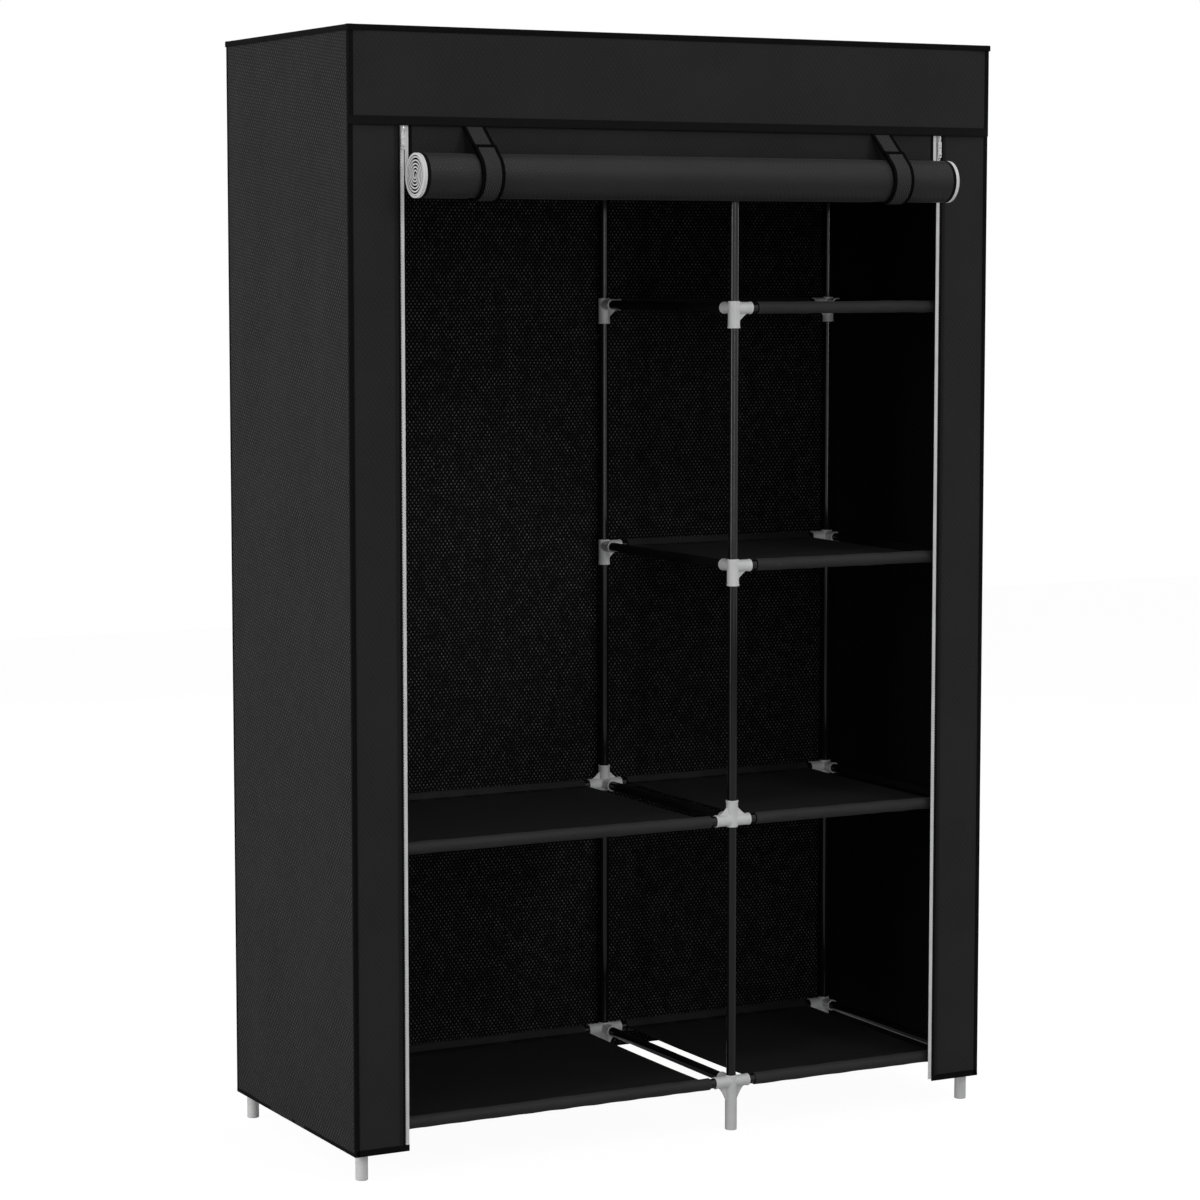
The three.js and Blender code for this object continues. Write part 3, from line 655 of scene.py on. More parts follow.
columnPlan = {
    "left": (("floor", "lower", "top"), lambda level: (1,)),
    "centre": (("floor", "lower", "middle", "upper", "top"),
               lambda level: (1,) if level in ("middle", "upper") else (-1, 1)),
    "right": (("floor", "lower", "middle", "upper", "top"), lambda level: (-1,)),
}
forms = {}
for column, (levels, sidesOf) in columnPlan.items():
    for level in levels:
        sides = sidesOf(level)
        hangs = level in ("middle", "upper") or (level == "lower" and len(sides) == 1)
        key = ("hanging" if hangs else "standing" if level == "lower" else level, len(sides))
        if key not in forms:
            forms[key] = connectorMesh(key[0], (1,) if len(sides) == 1 else (-1, 1))
        node = f"crossbar_{column}_{level}"
        x, z = columnX[column], levelZ[level]
        for row, y, flipY in (("front", frontPoleY, 1), ("back", backPoleY, -1)):
            addConnector(f"connector_{row}_{column}_{level}", forms[key], node, Vector((x, y, z)),
                         -1 if sides == (-1,) else 1, flipY)
        inset = connectorLook["depthSocketEnd"] + 0.3 * mm
        name = f"steel_depth_tube_{column}_{level}"
        tube = tubeMesh(name, (x, frontPoleY + inset, z), (x, backPoleY - inset, z), tubeRadius)
        addPiece(name, tube, tubeSteel, "tube_steel", stands=node)

socket = railSocket()
for column, flipX in (("left", 1), ("centre", -1)):
    addConnector(f"rail_socket_{column}", socket, f"crossbar_{column}_top",
                 Vector((columnX[column], middle("hanging_rail").y, levelZ["top"])), flipX)
print("connectors moulded:", len(forms), "forms")


# Thread: rows of separate stitches

stitchLook = {"pitch": 4.2 * mm, "length": 3.1 * mm, "radius": 0.26 * mm, "sink": 0.12 * mm, "taper": 0.55}


class StitchWork:
    def __init__(self):
        self.points, self.faces = [], []

    # a row from one point to another on a face that looks along out
    def row(self, start, end, out):
        start, end, out = Vector(start), Vector(end), Vector(out).normalized()
        along = end - start
        count = max(1, int(along.length / stitchLook["pitch"]))
        step = along / count
        along.normalize()
        side = along.cross(out)
        for number in range(count):
            self.one(start + step * (number + 0.5), along, side, out)

    def one(self, centre, along, side, out):
        half, radius, sink = along * (stitchLook["length"] / 2), stitchLook["radius"], out * stitchLook["sink"]
        first = len(self.points)
        self.points.append(centre - half - sink)
        for reach in (-stitchLook["taper"], stitchLook["taper"]):
            for turn in range(4):
                angle = math.pi / 4 + turn * math.pi / 2
                self.points.append(centre + half * reach + (side * math.cos(angle) + out * math.sin(angle)) * radius)
        self.points.append(centre + half - sink)
        for turn in range(4):
            after = (turn + 1) % 4
            a, b, c, d = first + 1 + turn, first + 1 + after, first + 5 + turn, first + 5 + after
            self.faces += [(first, b, a), (a, b, d, c), (c, d, first + 9)]

    def addAs(self, name, slotName):
        addPiece(name, meshFrom(name, [point[:] for point in self.points], self.faces, 80), threadFinish, slotName)


# Cover

coverLook = {
    "thickness": 1.5 * mm,
    "sideRipple": 2.6 * mm,
    "frontRipple": 1.1 * mm,
    "backRipple": 3.2 * mm,
    "flapRipple": 1.2 * mm,
    "flapWaves": (0.16, 0.3),
    "flapHug": 1.9 * mm,
    "flapHugReach": 40 * mm,
    "flapInset": 1.6 * mm,
    "topRipple": 0.8 * mm,
    "topSag": 3.0 * mm,
    "seamFade": 60 * mm,
    "edgeFade": 50 * mm,  # of the top and the flap
    "cells": (24, 84),
    "backCells": (54, 84),
}
frontY = low("cover_front_frame").y
flapY = low("header_flap").y + 0.4 * mm
coverTopZ = high("cover_top").z
coverLeft, coverRight = low("cover_top").x, high("cover_top").x
coverWidth = coverRight - coverLeft
hemZ = low("cover_left_side").z
flapLowZ = low("header_flap").z
doorSeamZ = high("door_sheet").z


# An upright panel whose outer face looks left, right, to the front or to the back
def coverPanel(name, node, facing, box, finish, shadeFinish, height, seed, cells=coverLook["cells"]):
    (x0, y0, z0), (x1, y1, z1) = box
    half = coverLook["thickness"] / 2
    wide = (y1 - y0) if facing in ("left", "right") else (x1 - x0)
    tall = z1 - z0
    freeHem = facing != "front"

    def surface(s, t):
        fadeX = edgeFade(s, wide, min(coverLook["seamFade"], wide / 2))
        fadeZ = edgeFade(t, tall, coverLook["seamFade"])
        if freeHem:
            fadeZ = clamped((1 - t) * tall / coverLook["seamFade"])
        wave = ripple(s * wide, t * tall, seed, height) * fadeX * fadeZ
        run, z = wide * s, z0 + tall * t
        return {
            "left": (x0 + half + wave, y1 - run, z),
            "right": (x1 - half + wave, y0 + run, z),
            "front": (x0 + run, y0 + half + wave, z),
            "back": (x1 - run, y1 - half + wave, z),
        }[facing]

    # the inner face takes the darker copy of the cloth, painted shade of the inside
    mesh = sheetMesh(name, surface, *cells, coverLook["thickness"], shadedInside=True)
    panel = addPiece(name, mesh, finish, "cover_cloth", stands=node, shadeFinish=shadeFinish)


for side, seed in (("left", 3.1), ("right", 8.4)):
    node = f"cover_{side}_side"
    coverPanel(f"{side}_side_panel", node, side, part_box(node), sideCloth, insideShadeDeep, coverLook["sideRipple"], seed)
coverPanel("back_panel", "cover_back", "back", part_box("cover_back"), backCloth, insideShadeAcross,
           coverLook["backRipple"], 5.7, coverLook["backCells"])

frameLow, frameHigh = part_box("cover_front_frame")
zipInner = {"left": low("zip_tape_left").x - 0.3 * mm, "right": high("zip_tape_right").x + 0.3 * mm}
bandLowZ = doorSeamZ + 0.3 * mm
strips = {
    "left_strip": ((frameLow.x, frameLow.y, frameLow.z), (zipInner["left"], frameHigh.y, bandLowZ), (8, 90)),
    "right_strip": ((zipInner["right"], frameLow.y, frameLow.z), (frameHigh.x, frameHigh.y, bandLowZ), (8, 90)),
    "door_band": ((frameLow.x, frameLow.y, bandLowZ + 2.1 * mm), tuple(frameHigh), (54, 8)),
}
for name, (lowest, highest, cells) in strips.items():
    coverPanel(name, "cover_front_frame", "front", (lowest, highest), frontCloth, insideShadeAcross,
               coverLook["frontRipple"], 2.2 + len(name), cells)

topRest = (columnX["centre"] - coverLeft) / coverWidth


# The top sags a little within each bay and rests on the middle crossbar
def topSurface(s, t):
    lowest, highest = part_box("cover_top")
    deep, fade = highest.y - lowest.y, coverLook["edgeFade"]
    bay = s / topRest if s < topRest else (1 - s) / (1 - topRest)
    sag = coverLook["topSag"] * math.sin(math.pi * bay) ** 2 * math.sin(math.pi * t)
    wave = ripple(s * coverWidth, t * deep, 6.6, coverLook["topRipple"])
    sag += wave * edgeFade(s, coverWidth, fade) * edgeFade(t, deep, fade)
    return (coverLeft + coverWidth * s, lowest.y + deep * t, coverTopZ - coverLook["thickness"] / 2 - sag)


# its inner face takes the darker copy of the cloth, painted shade of the inside
panel = addPiece("top_panel", sheetMesh("top_panel", topSurface, 54, 24, coverLook["thickness"], shadedInside=True),
                 topCloth, "cover_cloth", stands="cover_top", shadeFinish=insideShadeDeep)
high("cover_top").y - low("cover_top").y

flapLeft, flapRight = low("header_flap").x + coverLook["flapInset"], high("header_flap").x - coverLook["flapInset"]
flapWide, flapTall = high("header_flap").x - low("header_flap").x, high("header_flap").z - flapLowZ


# The ends of the flap are sewn down to the strips, so it comes back there
def flapHug(s):
    return coverLook["flapHug"] * (1 - edgeFade(s, coverWidth, coverLook["flapHugReach"]))


def flapSurface(s, t):
    wave = ripple(s * flapWide, t * flapTall, 12.3, coverLook["flapRipple"], coverLook["flapWaves"])
    wave *= (1 - t) ** 1.5 * edgeFade(s, flapWide, coverLook["edgeFade"])
    return (flapLeft + (flapRight - flapLeft) * s,
            flapY + coverLook["thickness"] / 2 + flapHug(s) - abs(wave) * 0.6, flapLowZ + flapTall * t)


panel = addPiece("header_flap_panel", sheetMesh("header_flap_panel", flapSurface, 72, 14, coverLook["thickness"]),
                 frontCloth, "cover_cloth", stands="header_flap")
print("cover panels hung")


# Bindings, with their measures in millimetres

bindingLook = {
    "tape": 0.8,
    "corner": 7,  # widths of the tapes on the upright corners and the top edges
    "backCorner": 4.9,
    "edge": 8,
    "over": 7,  # how far the top tapes reach over the top
    "hem": 9,
    "flapHem": 12.4,
    "sideTuck": 5,
    "stitchIn": 1.5,  # from a tape's edge to its stitches
    "facingStitch": 6,
}
edge, over, half = bindingLook["edge"], bindingLook["over"], bindingLook["tape"] / 2
tapeThick, halfTape = bindingLook["tape"] * mm, half * mm
stitchZ = coverTopZ - (edge - bindingLook["stitchIn"]) * mm
stripFootZ = hemZ + bindingLook["hem"] * mm
stitches = StitchWork()


# A point by its place along one axis and its places on the two others
def spot(axis, along, first, second):
    return {"x": (along, first, second), "y": (first, along, second), "z": (first, second, along)}[axis]


# A tape along one axis, folded round an edge: the folds are steps in millimetres from the edge
def edgeBinding(name, axis, ends, corner, folds, cells=60, finish=bindingTape, bend=None):
    path = alongPath([(corner[0] + first * mm, corner[1] + second * mm, 0) for first, second in folds])

    def surface(s, t):
        first, second, _ = path(s)
        return spot(axis, ends[0] + (ends[1] - ends[0]) * t, first + (bend(t) if bend else 0.0), second)

    addPiece(name, sheetMesh(name, surface, 8, cells, tapeThick), finish, "cover_cloth")


def seam(axis, ends, first, second, out):
    stitches.row(spot(axis, ends[0], first, second), spot(axis, ends[1], first, second), out)


backY = high("cover_back").y
for side, sign in (("left", -1), ("right", 1)):
    faceX = low("cover_left_side").x if sign < 0 else high("cover_right_side").x
    outX = faceX + sign * halfTape
    # upright corner tapes, front and back
    for row, y, out, wide in (("front", frontY - halfTape, -1, bindingLook["corner"]),
                              ("back", backY + halfTape, 1, bindingLook["backCorner"])):
        edgeBinding(f"corner_binding_{row}_{side}", "z", (hemZ, coverTopZ - 2.4 * mm), (outX, y),
                    [(0, -4 * out), (0, -0.6 * out), (-0.6 * sign, 0), (-wide * sign, 0)])
        seam("z", (hemZ + 10 * mm, flapLowZ - 2 * mm), outX - sign * (wide - bindingLook["stitchIn"]) * mm,
             y + out * halfTape, (0, out, 0))
    edgeBinding(f"top_binding_{side}", "y", (flapY, backY + 1.5 * mm), (outX, coverTopZ),
                [(1.1 * sign, -edge), (1.1 * sign, -0.4), (0.5 * sign, half), (-over * sign, half)], 30)
    seam("y", (flapY + 4 * mm, backY), outX + sign * 1.5 * mm, stitchZ, (sign, 0, 0))
    edgeBinding(f"side_hem_{side}", "y", (frontY, backY), (outX, hemZ),
                [(0, bindingLook["sideTuck"]), (0, -0.2), (-1.5 * sign, -half)], 30)

edgeBinding("top_binding_front", "x", (coverLeft, coverRight), (flapY, coverTopZ),
            [(-half, -edge), (-half, -0.5), (0.3, half), (over, half)])
seam("x", (coverLeft + 4 * mm, coverRight - 4 * mm), flapY - tapeThick, stitchZ, (0, -1, 0))
edgeBinding("top_binding_back", "x", (coverLeft, coverRight), (high("cover_top").y, coverTopZ),
            [(half, -edge), (half, -0.5), (0, half), (-over, half)])
edgeBinding("back_hem", "x", (low("cover_back").x, high("cover_back").x), (backY, hemZ),
            [(half, bindingLook["sideTuck"]), (half, 0), (-1.5, -half)])

# lower hem and side edges of the header flap
edgeBinding("flap_hem", "x", (flapLeft, flapRight), (flapY, flapLowZ),
            [(-half, bindingLook["flapHem"]), (-half, 0.4), (0.2, -half), (1.2, -half)], 90, hemTape, flapHug)
for rise in (2, bindingLook["flapHem"] - 1.6):
    seam("x", (flapLeft + 42 * mm, flapRight - 42 * mm), flapY - tapeThick, flapLowZ + rise * mm, (0, -1, 0))
for side, sign, x in (("left", -1, flapLeft), ("right", 1, flapRight)):
    edgeBinding(f"flap_edge_{side}", "z", (flapLowZ, coverTopZ - 1 * mm), (x, flapY + coverLook["flapHug"]),
                [(half * sign, 1.5), (half * sign, 0), (0, -half), (-bindingLook["corner"] * sign, -half)], 12)

# hems of the two strips: at the foot and along the zip; on the left the foot hem runs on across the zip
footHems = {"left": (frameLow.x, high("zip_tape_left").x), "right": (zipInner["right"], frameHigh.x)}
for side, sign in (("left", -1), ("right", 1)):
    inner, upright = zipInner[side], (stripFootZ, doorSeamZ)
    edgeBinding(f"strip_hem_{side}", "x", footHems[side], (frontY, hemZ),
                [(-half, bindingLook["hem"]), (-half, 0), (0.7, -half)], 12)
    edgeBinding(f"zip_facing_{side}", "z", upright, (inner, frontY),
                [(9 * sign, -0.3), (8 * sign, -half), (4 * sign, -half)], finish=facingCloth)
    edgeBinding(f"zip_edging_{side}", "z", upright, (inner, frontY),
                [(4 * sign, -half), (0.3 * sign, -half), (-0.2 * sign, 0.6)])
    seam("z", (stripFootZ + 2 * mm, doorSeamZ - 2 * mm), inner + sign * bindingLook["facingStitch"] * mm,
         frontY - tapeThick, (0, -1, 0))
print("bindings sewn on")


# Shelf cloths: one length of cloth each, sewn into a sleeve round the front and the back tube

shelfLook = {
    "thickness": 1.1 * mm,
    "sleeve": 8.4 * mm,  # middle of the cloth round the tube
    "seam": 13 * mm,  # from the middle of the tube to the row of stitches
    "leaf": 20 * mm,
    "rise": 0.2 * mm,  # of the plate over the tube's middle
    "sag": 2.5 * mm,
    "ripple": 0.9 * mm,
    "waves": (0.13, 0.2),
    "puff": 0.9 * mm,
    "puffWidth": 28 * mm,
    "cells": 60,
}
plateBegin, plateEnd = frontPoleY + shelfLook["seam"], backPoleY - shelfLook["seam"]
shelfStitches = StitchWork()


# Where the cloth runs, as (depth, height): level between the tubes, and once round each of them
def shelfPath(z):
    radius, leaf = shelfLook["sleeve"], shelfLook["leaf"]
    plate, under = z + shelfLook["rise"], z - shelfLook["thickness"] + 0.1 * mm
    touch = math.degrees(math.acos(radius / shelfLook["seam"]))
    path = [(frontPoleY + leaf, under), (plateBegin, under)]
    path += arc((frontPoleY, z), radius, -touch, touch - 360, 30)
    path += [(plateBegin + (plateEnd - plateBegin) * step / 16, plate) for step in range(17)]
    path += arc((backPoleY, z), radius, 180 - touch, touch - 180, 30)
    path += [(plateEnd, under), (backPoleY - leaf, under)]
    return [Vector((0, y, h)) for y, h in path]


def makeShelf(node, seed):
    lowest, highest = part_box(node)
    z, wide = levelZ[node.split("_")[2]], highest.x - lowest.x
    path = shelfPath(z)
    count = len(path) - 1

    def surface(s, t):
        point = path[round(s * count)]
        share = clamped((point.y - plateBegin) / (plateEnd - plateBegin))
        slack = math.sin(math.pi * share) ** 0.8 if 0 < share < 1 else 0.0
        drop = shelfLook["sag"] * slack * (0.55 + 0.45 * math.sin(math.pi * t))
        drop -= ripple(t * wide, share * 0.42, seed, shelfLook["ripple"], shelfLook["waves"]) * slack
        # the sleeve stands off its tube in small folds
        tubeY = frontPoleY if point.y < (plateBegin + plateEnd) / 2 else backPoleY
        out = Vector((0, point.y - tubeY, point.z - z))
        near = clamped((shelfLook["seam"] - out.length) / (4 * mm))
        fold = noise.noise(Vector((t * wide / shelfLook["puffWidth"], math.atan2(out.z, out.y) * 0.5, seed + 4)))
        out *= max(0.0, fold + 0.25) * shelfLook["puff"] * near / out.length
        return (lowest.x + wide * t, point.y + out.y, point.z + out.z - drop)

    mesh = sheetMesh(node, surface, count, shelfLook["cells"], shelfLook["thickness"])
    # the plate between the sleeves takes the darker copy of the cloth: painted shade
    for face in mesh.polygons:
        if plateBegin < face.center.y < plateEnd:
            face.material_index = 1
    cloth = addPiece(f"{node}_cloth", mesh, sleeveCloth, "shelf_cloth", stands=node, shadeFinish=shadedPlateCloth)
    faceZ = z + shelfLook["rise"] + shelfLook["thickness"] / 2
    for y in (plateBegin + 3 * mm, plateEnd - 3 * mm):
        shelfStitches.row((lowest.x + 3 * mm, y, faceZ), (highest.x - 3 * mm, y, faceZ), (0, 0, 1))


shelfNodes = [node for node in sorted(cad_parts) if node.startswith("shelf_") and "_tube_" not in node]
for seed, node in enumerate(shelfNodes):
    makeShelf(node, seed * 3.7)
shelfStitches.addAs("shelf_stitches", "shelf_cloth")
print("shelf cloths made")


# Rolled door

rollLook = {
    "radius": 33 * mm,
    "standoff": 33.3 * mm,  # from the front of the cover to the roll's axis
    "layer": 1.3 * mm,
    "tightPitch": 1.5 * mm,
    "loosePitch": 4.8 * mm,
    "loosening": (1.2, 1.8),  # the turn where it starts, and over how many turns
    "teeth": 1.9 * mm,
    "core": 3.0 * mm,
    "stepsPerTurn": 40,
    "coil": 1.6 * mm,  # the row of teeth, on the very edge of the door
    "tape": 5.4 * mm,
    "edging": 11 * mm,
    "swell": 0.7 * mm,
    "wave": (0.45 * mm, 90 * mm, 2.4),  # height, width, and how fast it changes from turn to turn
    "pinch": 1.6 * mm,
    "pinchReach": (17 * mm, 26 * mm),  # beside a strap's middle: where it ends, and over what width
    "endFade": 60 * mm,
    "flat": 0.16,  # what is left of the roll when the door is down
}
rollLow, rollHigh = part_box("door_roll")
rollRadius, perTurn = rollLook["radius"], rollLook["stepsPerTurn"]
rollAxis = Vector((0, frontY - rollLook["standoff"], low("door_sheet").z))
strapX = {"left": middle("strap_left").x, "right": middle("strap_right").x}


# How far the cloth has come in after some turns: tight at first, looser towards the core
def windIn(turn):
    start, spread = rollLook["loosening"]
    past = max(0.0, (turn - start) / spread)
    loose = spread * (past ** 3 - past ** 4 / 2 if past < 1 else past - 0.5)
    return rollLook["tightPitch"] * turn + (rollLook["loosePitch"] - rollLook["tightPitch"]) * loose


def rollPoint(turn, x):
    angle = 2 * math.pi * turn
    radius = rollRadius - rollLook["layer"] / 2 - 0.1 * mm - windIn(turn)
    outside = max(0.0, 1 - turn / 2)
    clear = (1 - math.cos(angle)) / 2  # nothing at the back, where the door hangs
    begin, reach = rollLook["pinchReach"]
    held = eased((min(abs(x - place) for place in strapX.values()) - begin) / reach)
    ends = min(1.0, min(x - rollLow.x, rollHigh.x - x) / rollLook["endFade"])
    height, width, change = rollLook["wave"]
    wave = noise.noise(Vector((x / width, turn * change, 1.7))) * height
    radius += outside * clear * ((rollLook["swell"] + wave) * held * ends - rollLook["pinch"] * (1 - held))
    return (x, rollAxis.y + radius * math.cos(angle), rollAxis.z - radius * math.sin(angle))


roomInside = rollRadius - rollLook["layer"] / 2 - rollLook["core"]
rollSteps = next(step for step in range(2000) if windIn(step / perTurn) > roomInside)
rollTurns = rollSteps / perTurn
# teeth are thicker than the tape where the turns leave room for them
turnPitch = np.diff([windIn(step / perTurn) for step in range(rollSteps + 1)]) * perTurn
toothThickness = np.minimum(rollLook["teeth"], turnPitch - 0.15 * mm)
toothThickness = np.append(toothThickness, toothThickness[-1]).reshape(1, -1, 1)


def rollMesh(name, fromX, toX, cells, thickness=rollLook["layer"]):
    return sheetMesh(name, lambda s, t: rollPoint(rollTurns * t, fromX + (toX - fromX) * s), cells, rollSteps,
                     thickness)


# The strips at both edges of the door, from the very edge inwards, in a stretch of it from left to right
def edgeStrips(left, right):
    for side, edgeX, way in (("left", left, 1), ("right", right, -1)):
        begin = 0.0
        for label, reach, finish, slotName in (("teeth", rollLook["coil"], zipCloth, "zip_tape"),
                                               ("zip", rollLook["tape"], zipCloth, "zip_tape"),
                                               ("edging", rollLook["edging"], bindingTape, "cover_cloth")):
            yield label, side, sorted((edgeX + way * begin, edgeX + way * reach)), finish, slotName
            begin = reach


rolledPieces = []
for label, side, ends, finish, slotName in edgeStrips(rollLow.x, rollHigh.x):
    name = f"rolled_{label}_{side}"
    mesh = rollMesh(name, *ends, 2, toothThickness if label == "teeth" else rollLook["layer"])
    if label == "zip":  # the inner turns take the black binding finish, painted shade between the turns; only the outermost turn shows its white tape
        for number, face in enumerate(mesh.polygons):
            if number < 4 * rollSteps and number % rollSteps > 1.04 * perTurn:
                face.material_index = 1
    rolledPieces.append(addPiece(name, mesh, finish, slotName, body="door", stands="door_roll",
                                 shadeFinish=bindingTape if label == "zip" else None))
inset = rollLook["edging"]
rolledDoor = addPiece("rolled_door", rollMesh("rolled_door", rollLow.x + inset, rollHigh.x - inset, 46), rollCloth,
                      "cover_cloth", body="door", stands="door_roll")
rollLength = lengthOf([Vector(rollPoint(step / perTurn, 0)) for step in range(rollSteps + 1)])
rolledPieces.append(rolledDoor)
print("door rolled:", round(rollTurns, 1), "turns,", round(rollLength, 2), "m of cloth")

hangingLook = {"thickness": 1.2 * mm, "ripple": 0.5 * mm, "waves": (0.12, 0.5), "edgeFade": 30 * mm,
               "coilForward": 0.3 * mm}
sheetLow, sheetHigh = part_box("door_sheet")
sheetMiddleY, sheetTall = (sheetLow.y + sheetHigh.y) / 2, sheetHigh.z - sheetLow.z


# A strip of the door that still hangs behind the roll
def hangingPiece(name, fromX, toX, cells, finish, slotName, forward=0.0):
    def surface(s, t):
        x = fromX + (toX - fromX) * s
        wave = ripple(x, t * sheetTall, 4.4, hangingLook["ripple"], hangingLook["waves"])
        wave *= edgeFade(t, sheetTall, hangingLook["edgeFade"])
        return (x, sheetMiddleY - forward + wave, sheetLow.z + sheetTall * t)

    mesh = sheetMesh(name, surface, cells, 60, hangingLook["thickness"])
    piece = addPiece(name, mesh, finish, slotName, body=None, stands="door_sheet")
    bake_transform(piece)
    return piece


hanging = hangingPiece("hanging_door", sheetLow.x + inset, sheetHigh.x - inset, 60, frontCloth, "cover_cloth")
for label, side, ends, finish, slotName in edgeStrips(sheetLow.x, sheetHigh.x):
    hangingPiece(f"hanging_{label}_{side}", *ends, 2, finish, slotName,
                 hangingLook["coilForward"] if label == "teeth" else 0.0)
for piece in rolledPieces:
    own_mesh(piece)


# Straps that hold the roll

strapLook = {
    "space": 1.5 * mm,  # what a layer of strap takes up round the roll
    "clear": 0.3 * mm,
    "thickness": 1.3 * mm,
    # width of each dark border, with the strap's shadow beside it painted in
    "border": 5.4 * mm,
    "borderRise": 0.6 * mm,
    "squeeze": 1.5 * mm,
    "squeezeReach": (8 * mm, 4 * mm),  # outside the roll: where it ends, and over what depth
    "tail": (9 * mm, 18 * mm, 26 * mm),
    "binding": (6.0 * mm, 2.4 * mm),  # length and thickness at the free end
    "hinge": 35.8 * mm,  # from the roll's axis to where the free end begins
    "bend": 9 * mm,  # length of the free end that bends when it peels
    "step": 2.4 * mm,
}
strapWide = high("strap_left").x - low("strap_left").x


# Draws the points that lie close on the roll in, least at the back
def squeezed(points):
    result = []
    for y, z in points:
        radius, angle = math.hypot(y, z), math.atan2(z, y)
        near = clamped((rollRadius + strapLook["squeezeReach"][0] - radius) / strapLook["squeezeReach"][1])
        radius -= strapLook["squeeze"] * near * (1 - math.cos(angle)) / 2
        result.append((0, rollAxis.y + radius * math.cos(angle), rollAxis.z + radius * math.sin(angle)))
    return result


# The strap from behind the roll over the seam and down in front, and its free end round the roll
def strapPaths():
    clear, space, standoff = strapLook["clear"], strapLook["space"], rollLook["standoff"]
    front, rear = standoff - clear - space / 2, standoff + clear + space * 1.5
    leave = (front, flapLowZ - rollAxis.z - clear)
    radius = rollRadius + clear + space / 2
    touch = math.atan2(leave[1], leave[0]) + math.acos(radius / math.hypot(*leave))
    seam, corner = bandLowZ - rollAxis.z + clear + space / 2, 1 * mm
    upper = [(rear, 0), (rear, seam - corner), (rear - corner, seam), (front + corner, seam),
             (front, seam - corner), leave] + arc((0, 0), radius, math.degrees(touch), 178, 22)
    end = arc((0, 0), radius + space + clear, -0.5, math.degrees(touch) - 360, 48)
    y, z = end[-1]
    end += [(y + reach * math.sin(touch), z - reach * math.cos(touch)) for reach in strapLook["tail"]]
    return squeezed(upper), squeezed(end)


# A band of the strap's width between two shares of it
def strapMesh(name, points, x, fromShare, toShare, thickness, cells):
    def surface(s, t):
        _, y, z = points(t)
        return (x + (fromShare + (toShare - fromShare) * s - 0.5) * strapWide, y, z)

    steps = max(12, int(points.total / strapLook["step"]))
    return sheetMesh(name, surface, cells, steps, thickness)


upperPath, endPath = strapPaths()
border = strapLook["border"] / strapWide
raised = strapLook["thickness"] + strapLook["borderRise"]
bands = [
    ("webbing", 0.0, 1.0, strapLook["thickness"], 6, webbing),
    ("border_a", 0.0, border, raised, 2, strapBindingAndShade),
    ("border_b", 1 - border, 1.0, raised, 2, strapBindingAndShade),
]
bindingLong, bindingThick = strapLook["binding"]
tail = alongPath(endPath[-2:])
for side, x in strapX.items():
    for part, path, held in (("strap", upperPath, "folded"), ("strap_end", endPath, "hung")):
        node, points = f"{part}_{side}", alongPath(path)
        for label, start, end, thickness, cells, finish in bands:
            mesh = strapMesh(node, points, x, start, end, thickness, cells)
            piece = addPiece(f"{node}_{label}", mesh, finish, "strap_webbing",
                             body="root" if part == "strap" else None, stands=node)
            if part == "strap_end":
                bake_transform(piece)

    def tailSurface(s, t, x=x):
        _, y, z = tail(1 - bindingLong / tail.total * (1 - t))
        return (x + (s - 0.5) * strapWide, y, z)

    name = f"strap_end_{side}_binding"
    addPiece(name, sheetMesh(name, tailSurface, 6, 4, bindingThick), strapBindingAndShade, "strap_webbing",
             body=f"strap_end_{side}")
print("straps buckled round the roll")


# Zips: fixed tape with its row of teeth, slider and pull

zipLook = {
    "tape": 1.1 * mm,
    "tapeCrown": 0.25 * mm,
    "toothPitch": 2.3 * mm,
    "tooth": (1.9 * mm, 1.5 * mm, 1.2 * mm),
    "toothIn": (1.1 * mm, 0.4 * mm),  # from the tape's edge, and from its face
    "bevel": 0.3 * mm,
    "sliderWide": (6.6 * mm, 4.4 * mm),  # at the shoulders and at the tail
    "sliderShift": 0.5 * mm,  # towards the door
    "sliderPlate": 1.2 * mm,
    "sliderDepths": (-2.5 * mm, 1.8 * mm),  # where its two plates begin, from the front of the cover
    "sliderWaist": 0.45,  # share of its height
    "bridgeWide": 2.0 * mm,
    "bridgeThick": 1.0 * mm,
    "pullWide": 6.0 * mm,
    "pullThick": 1.2 * mm,
    "pullCorner": 1.6 * mm,
    "pullNeck": 6 * mm,  # from the pin down to where it widens
    "pullSlot": (-0.4 * mm, -4.2 * mm, 1.0 * mm),  # its ends from the pin, and its half width
    "pinEye": 1.9 * mm,
    "pullHole": 1.7 * mm,
}


def toothRow(name, x, y, fromZ, toZ):
    wide, deep, tall = (size / 2 for size in zipLook["tooth"])
    points, faces = [], []
    for number in range(int((toZ - fromZ) / zipLook["toothPitch"])):
        z = fromZ + (number + 0.5) * zipLook["toothPitch"]
        first = len(points)
        for level, share in ((-1, 0.7), (-0.5, 1.0), (0.5, 1.0), (1, 0.7)):
            for sx, sy in ((-1, -1), (1, -1), (1, 1), (-1, 1)):
                points.append((x + sx * wide * share, y + sy * deep * share, z + level * tall))
        faces += [tuple(first + k for k in ends) for ends in ((3, 2, 1, 0), (12, 13, 14, 15))]
        for a in (first, first + 4, first + 8):
            faces += [(a + k, a + (k + 1) % 4, a + 4 + (k + 1) % 4, a + 4 + k) for k in range(4)]
    return meshFrom(name, points, faces, 50)


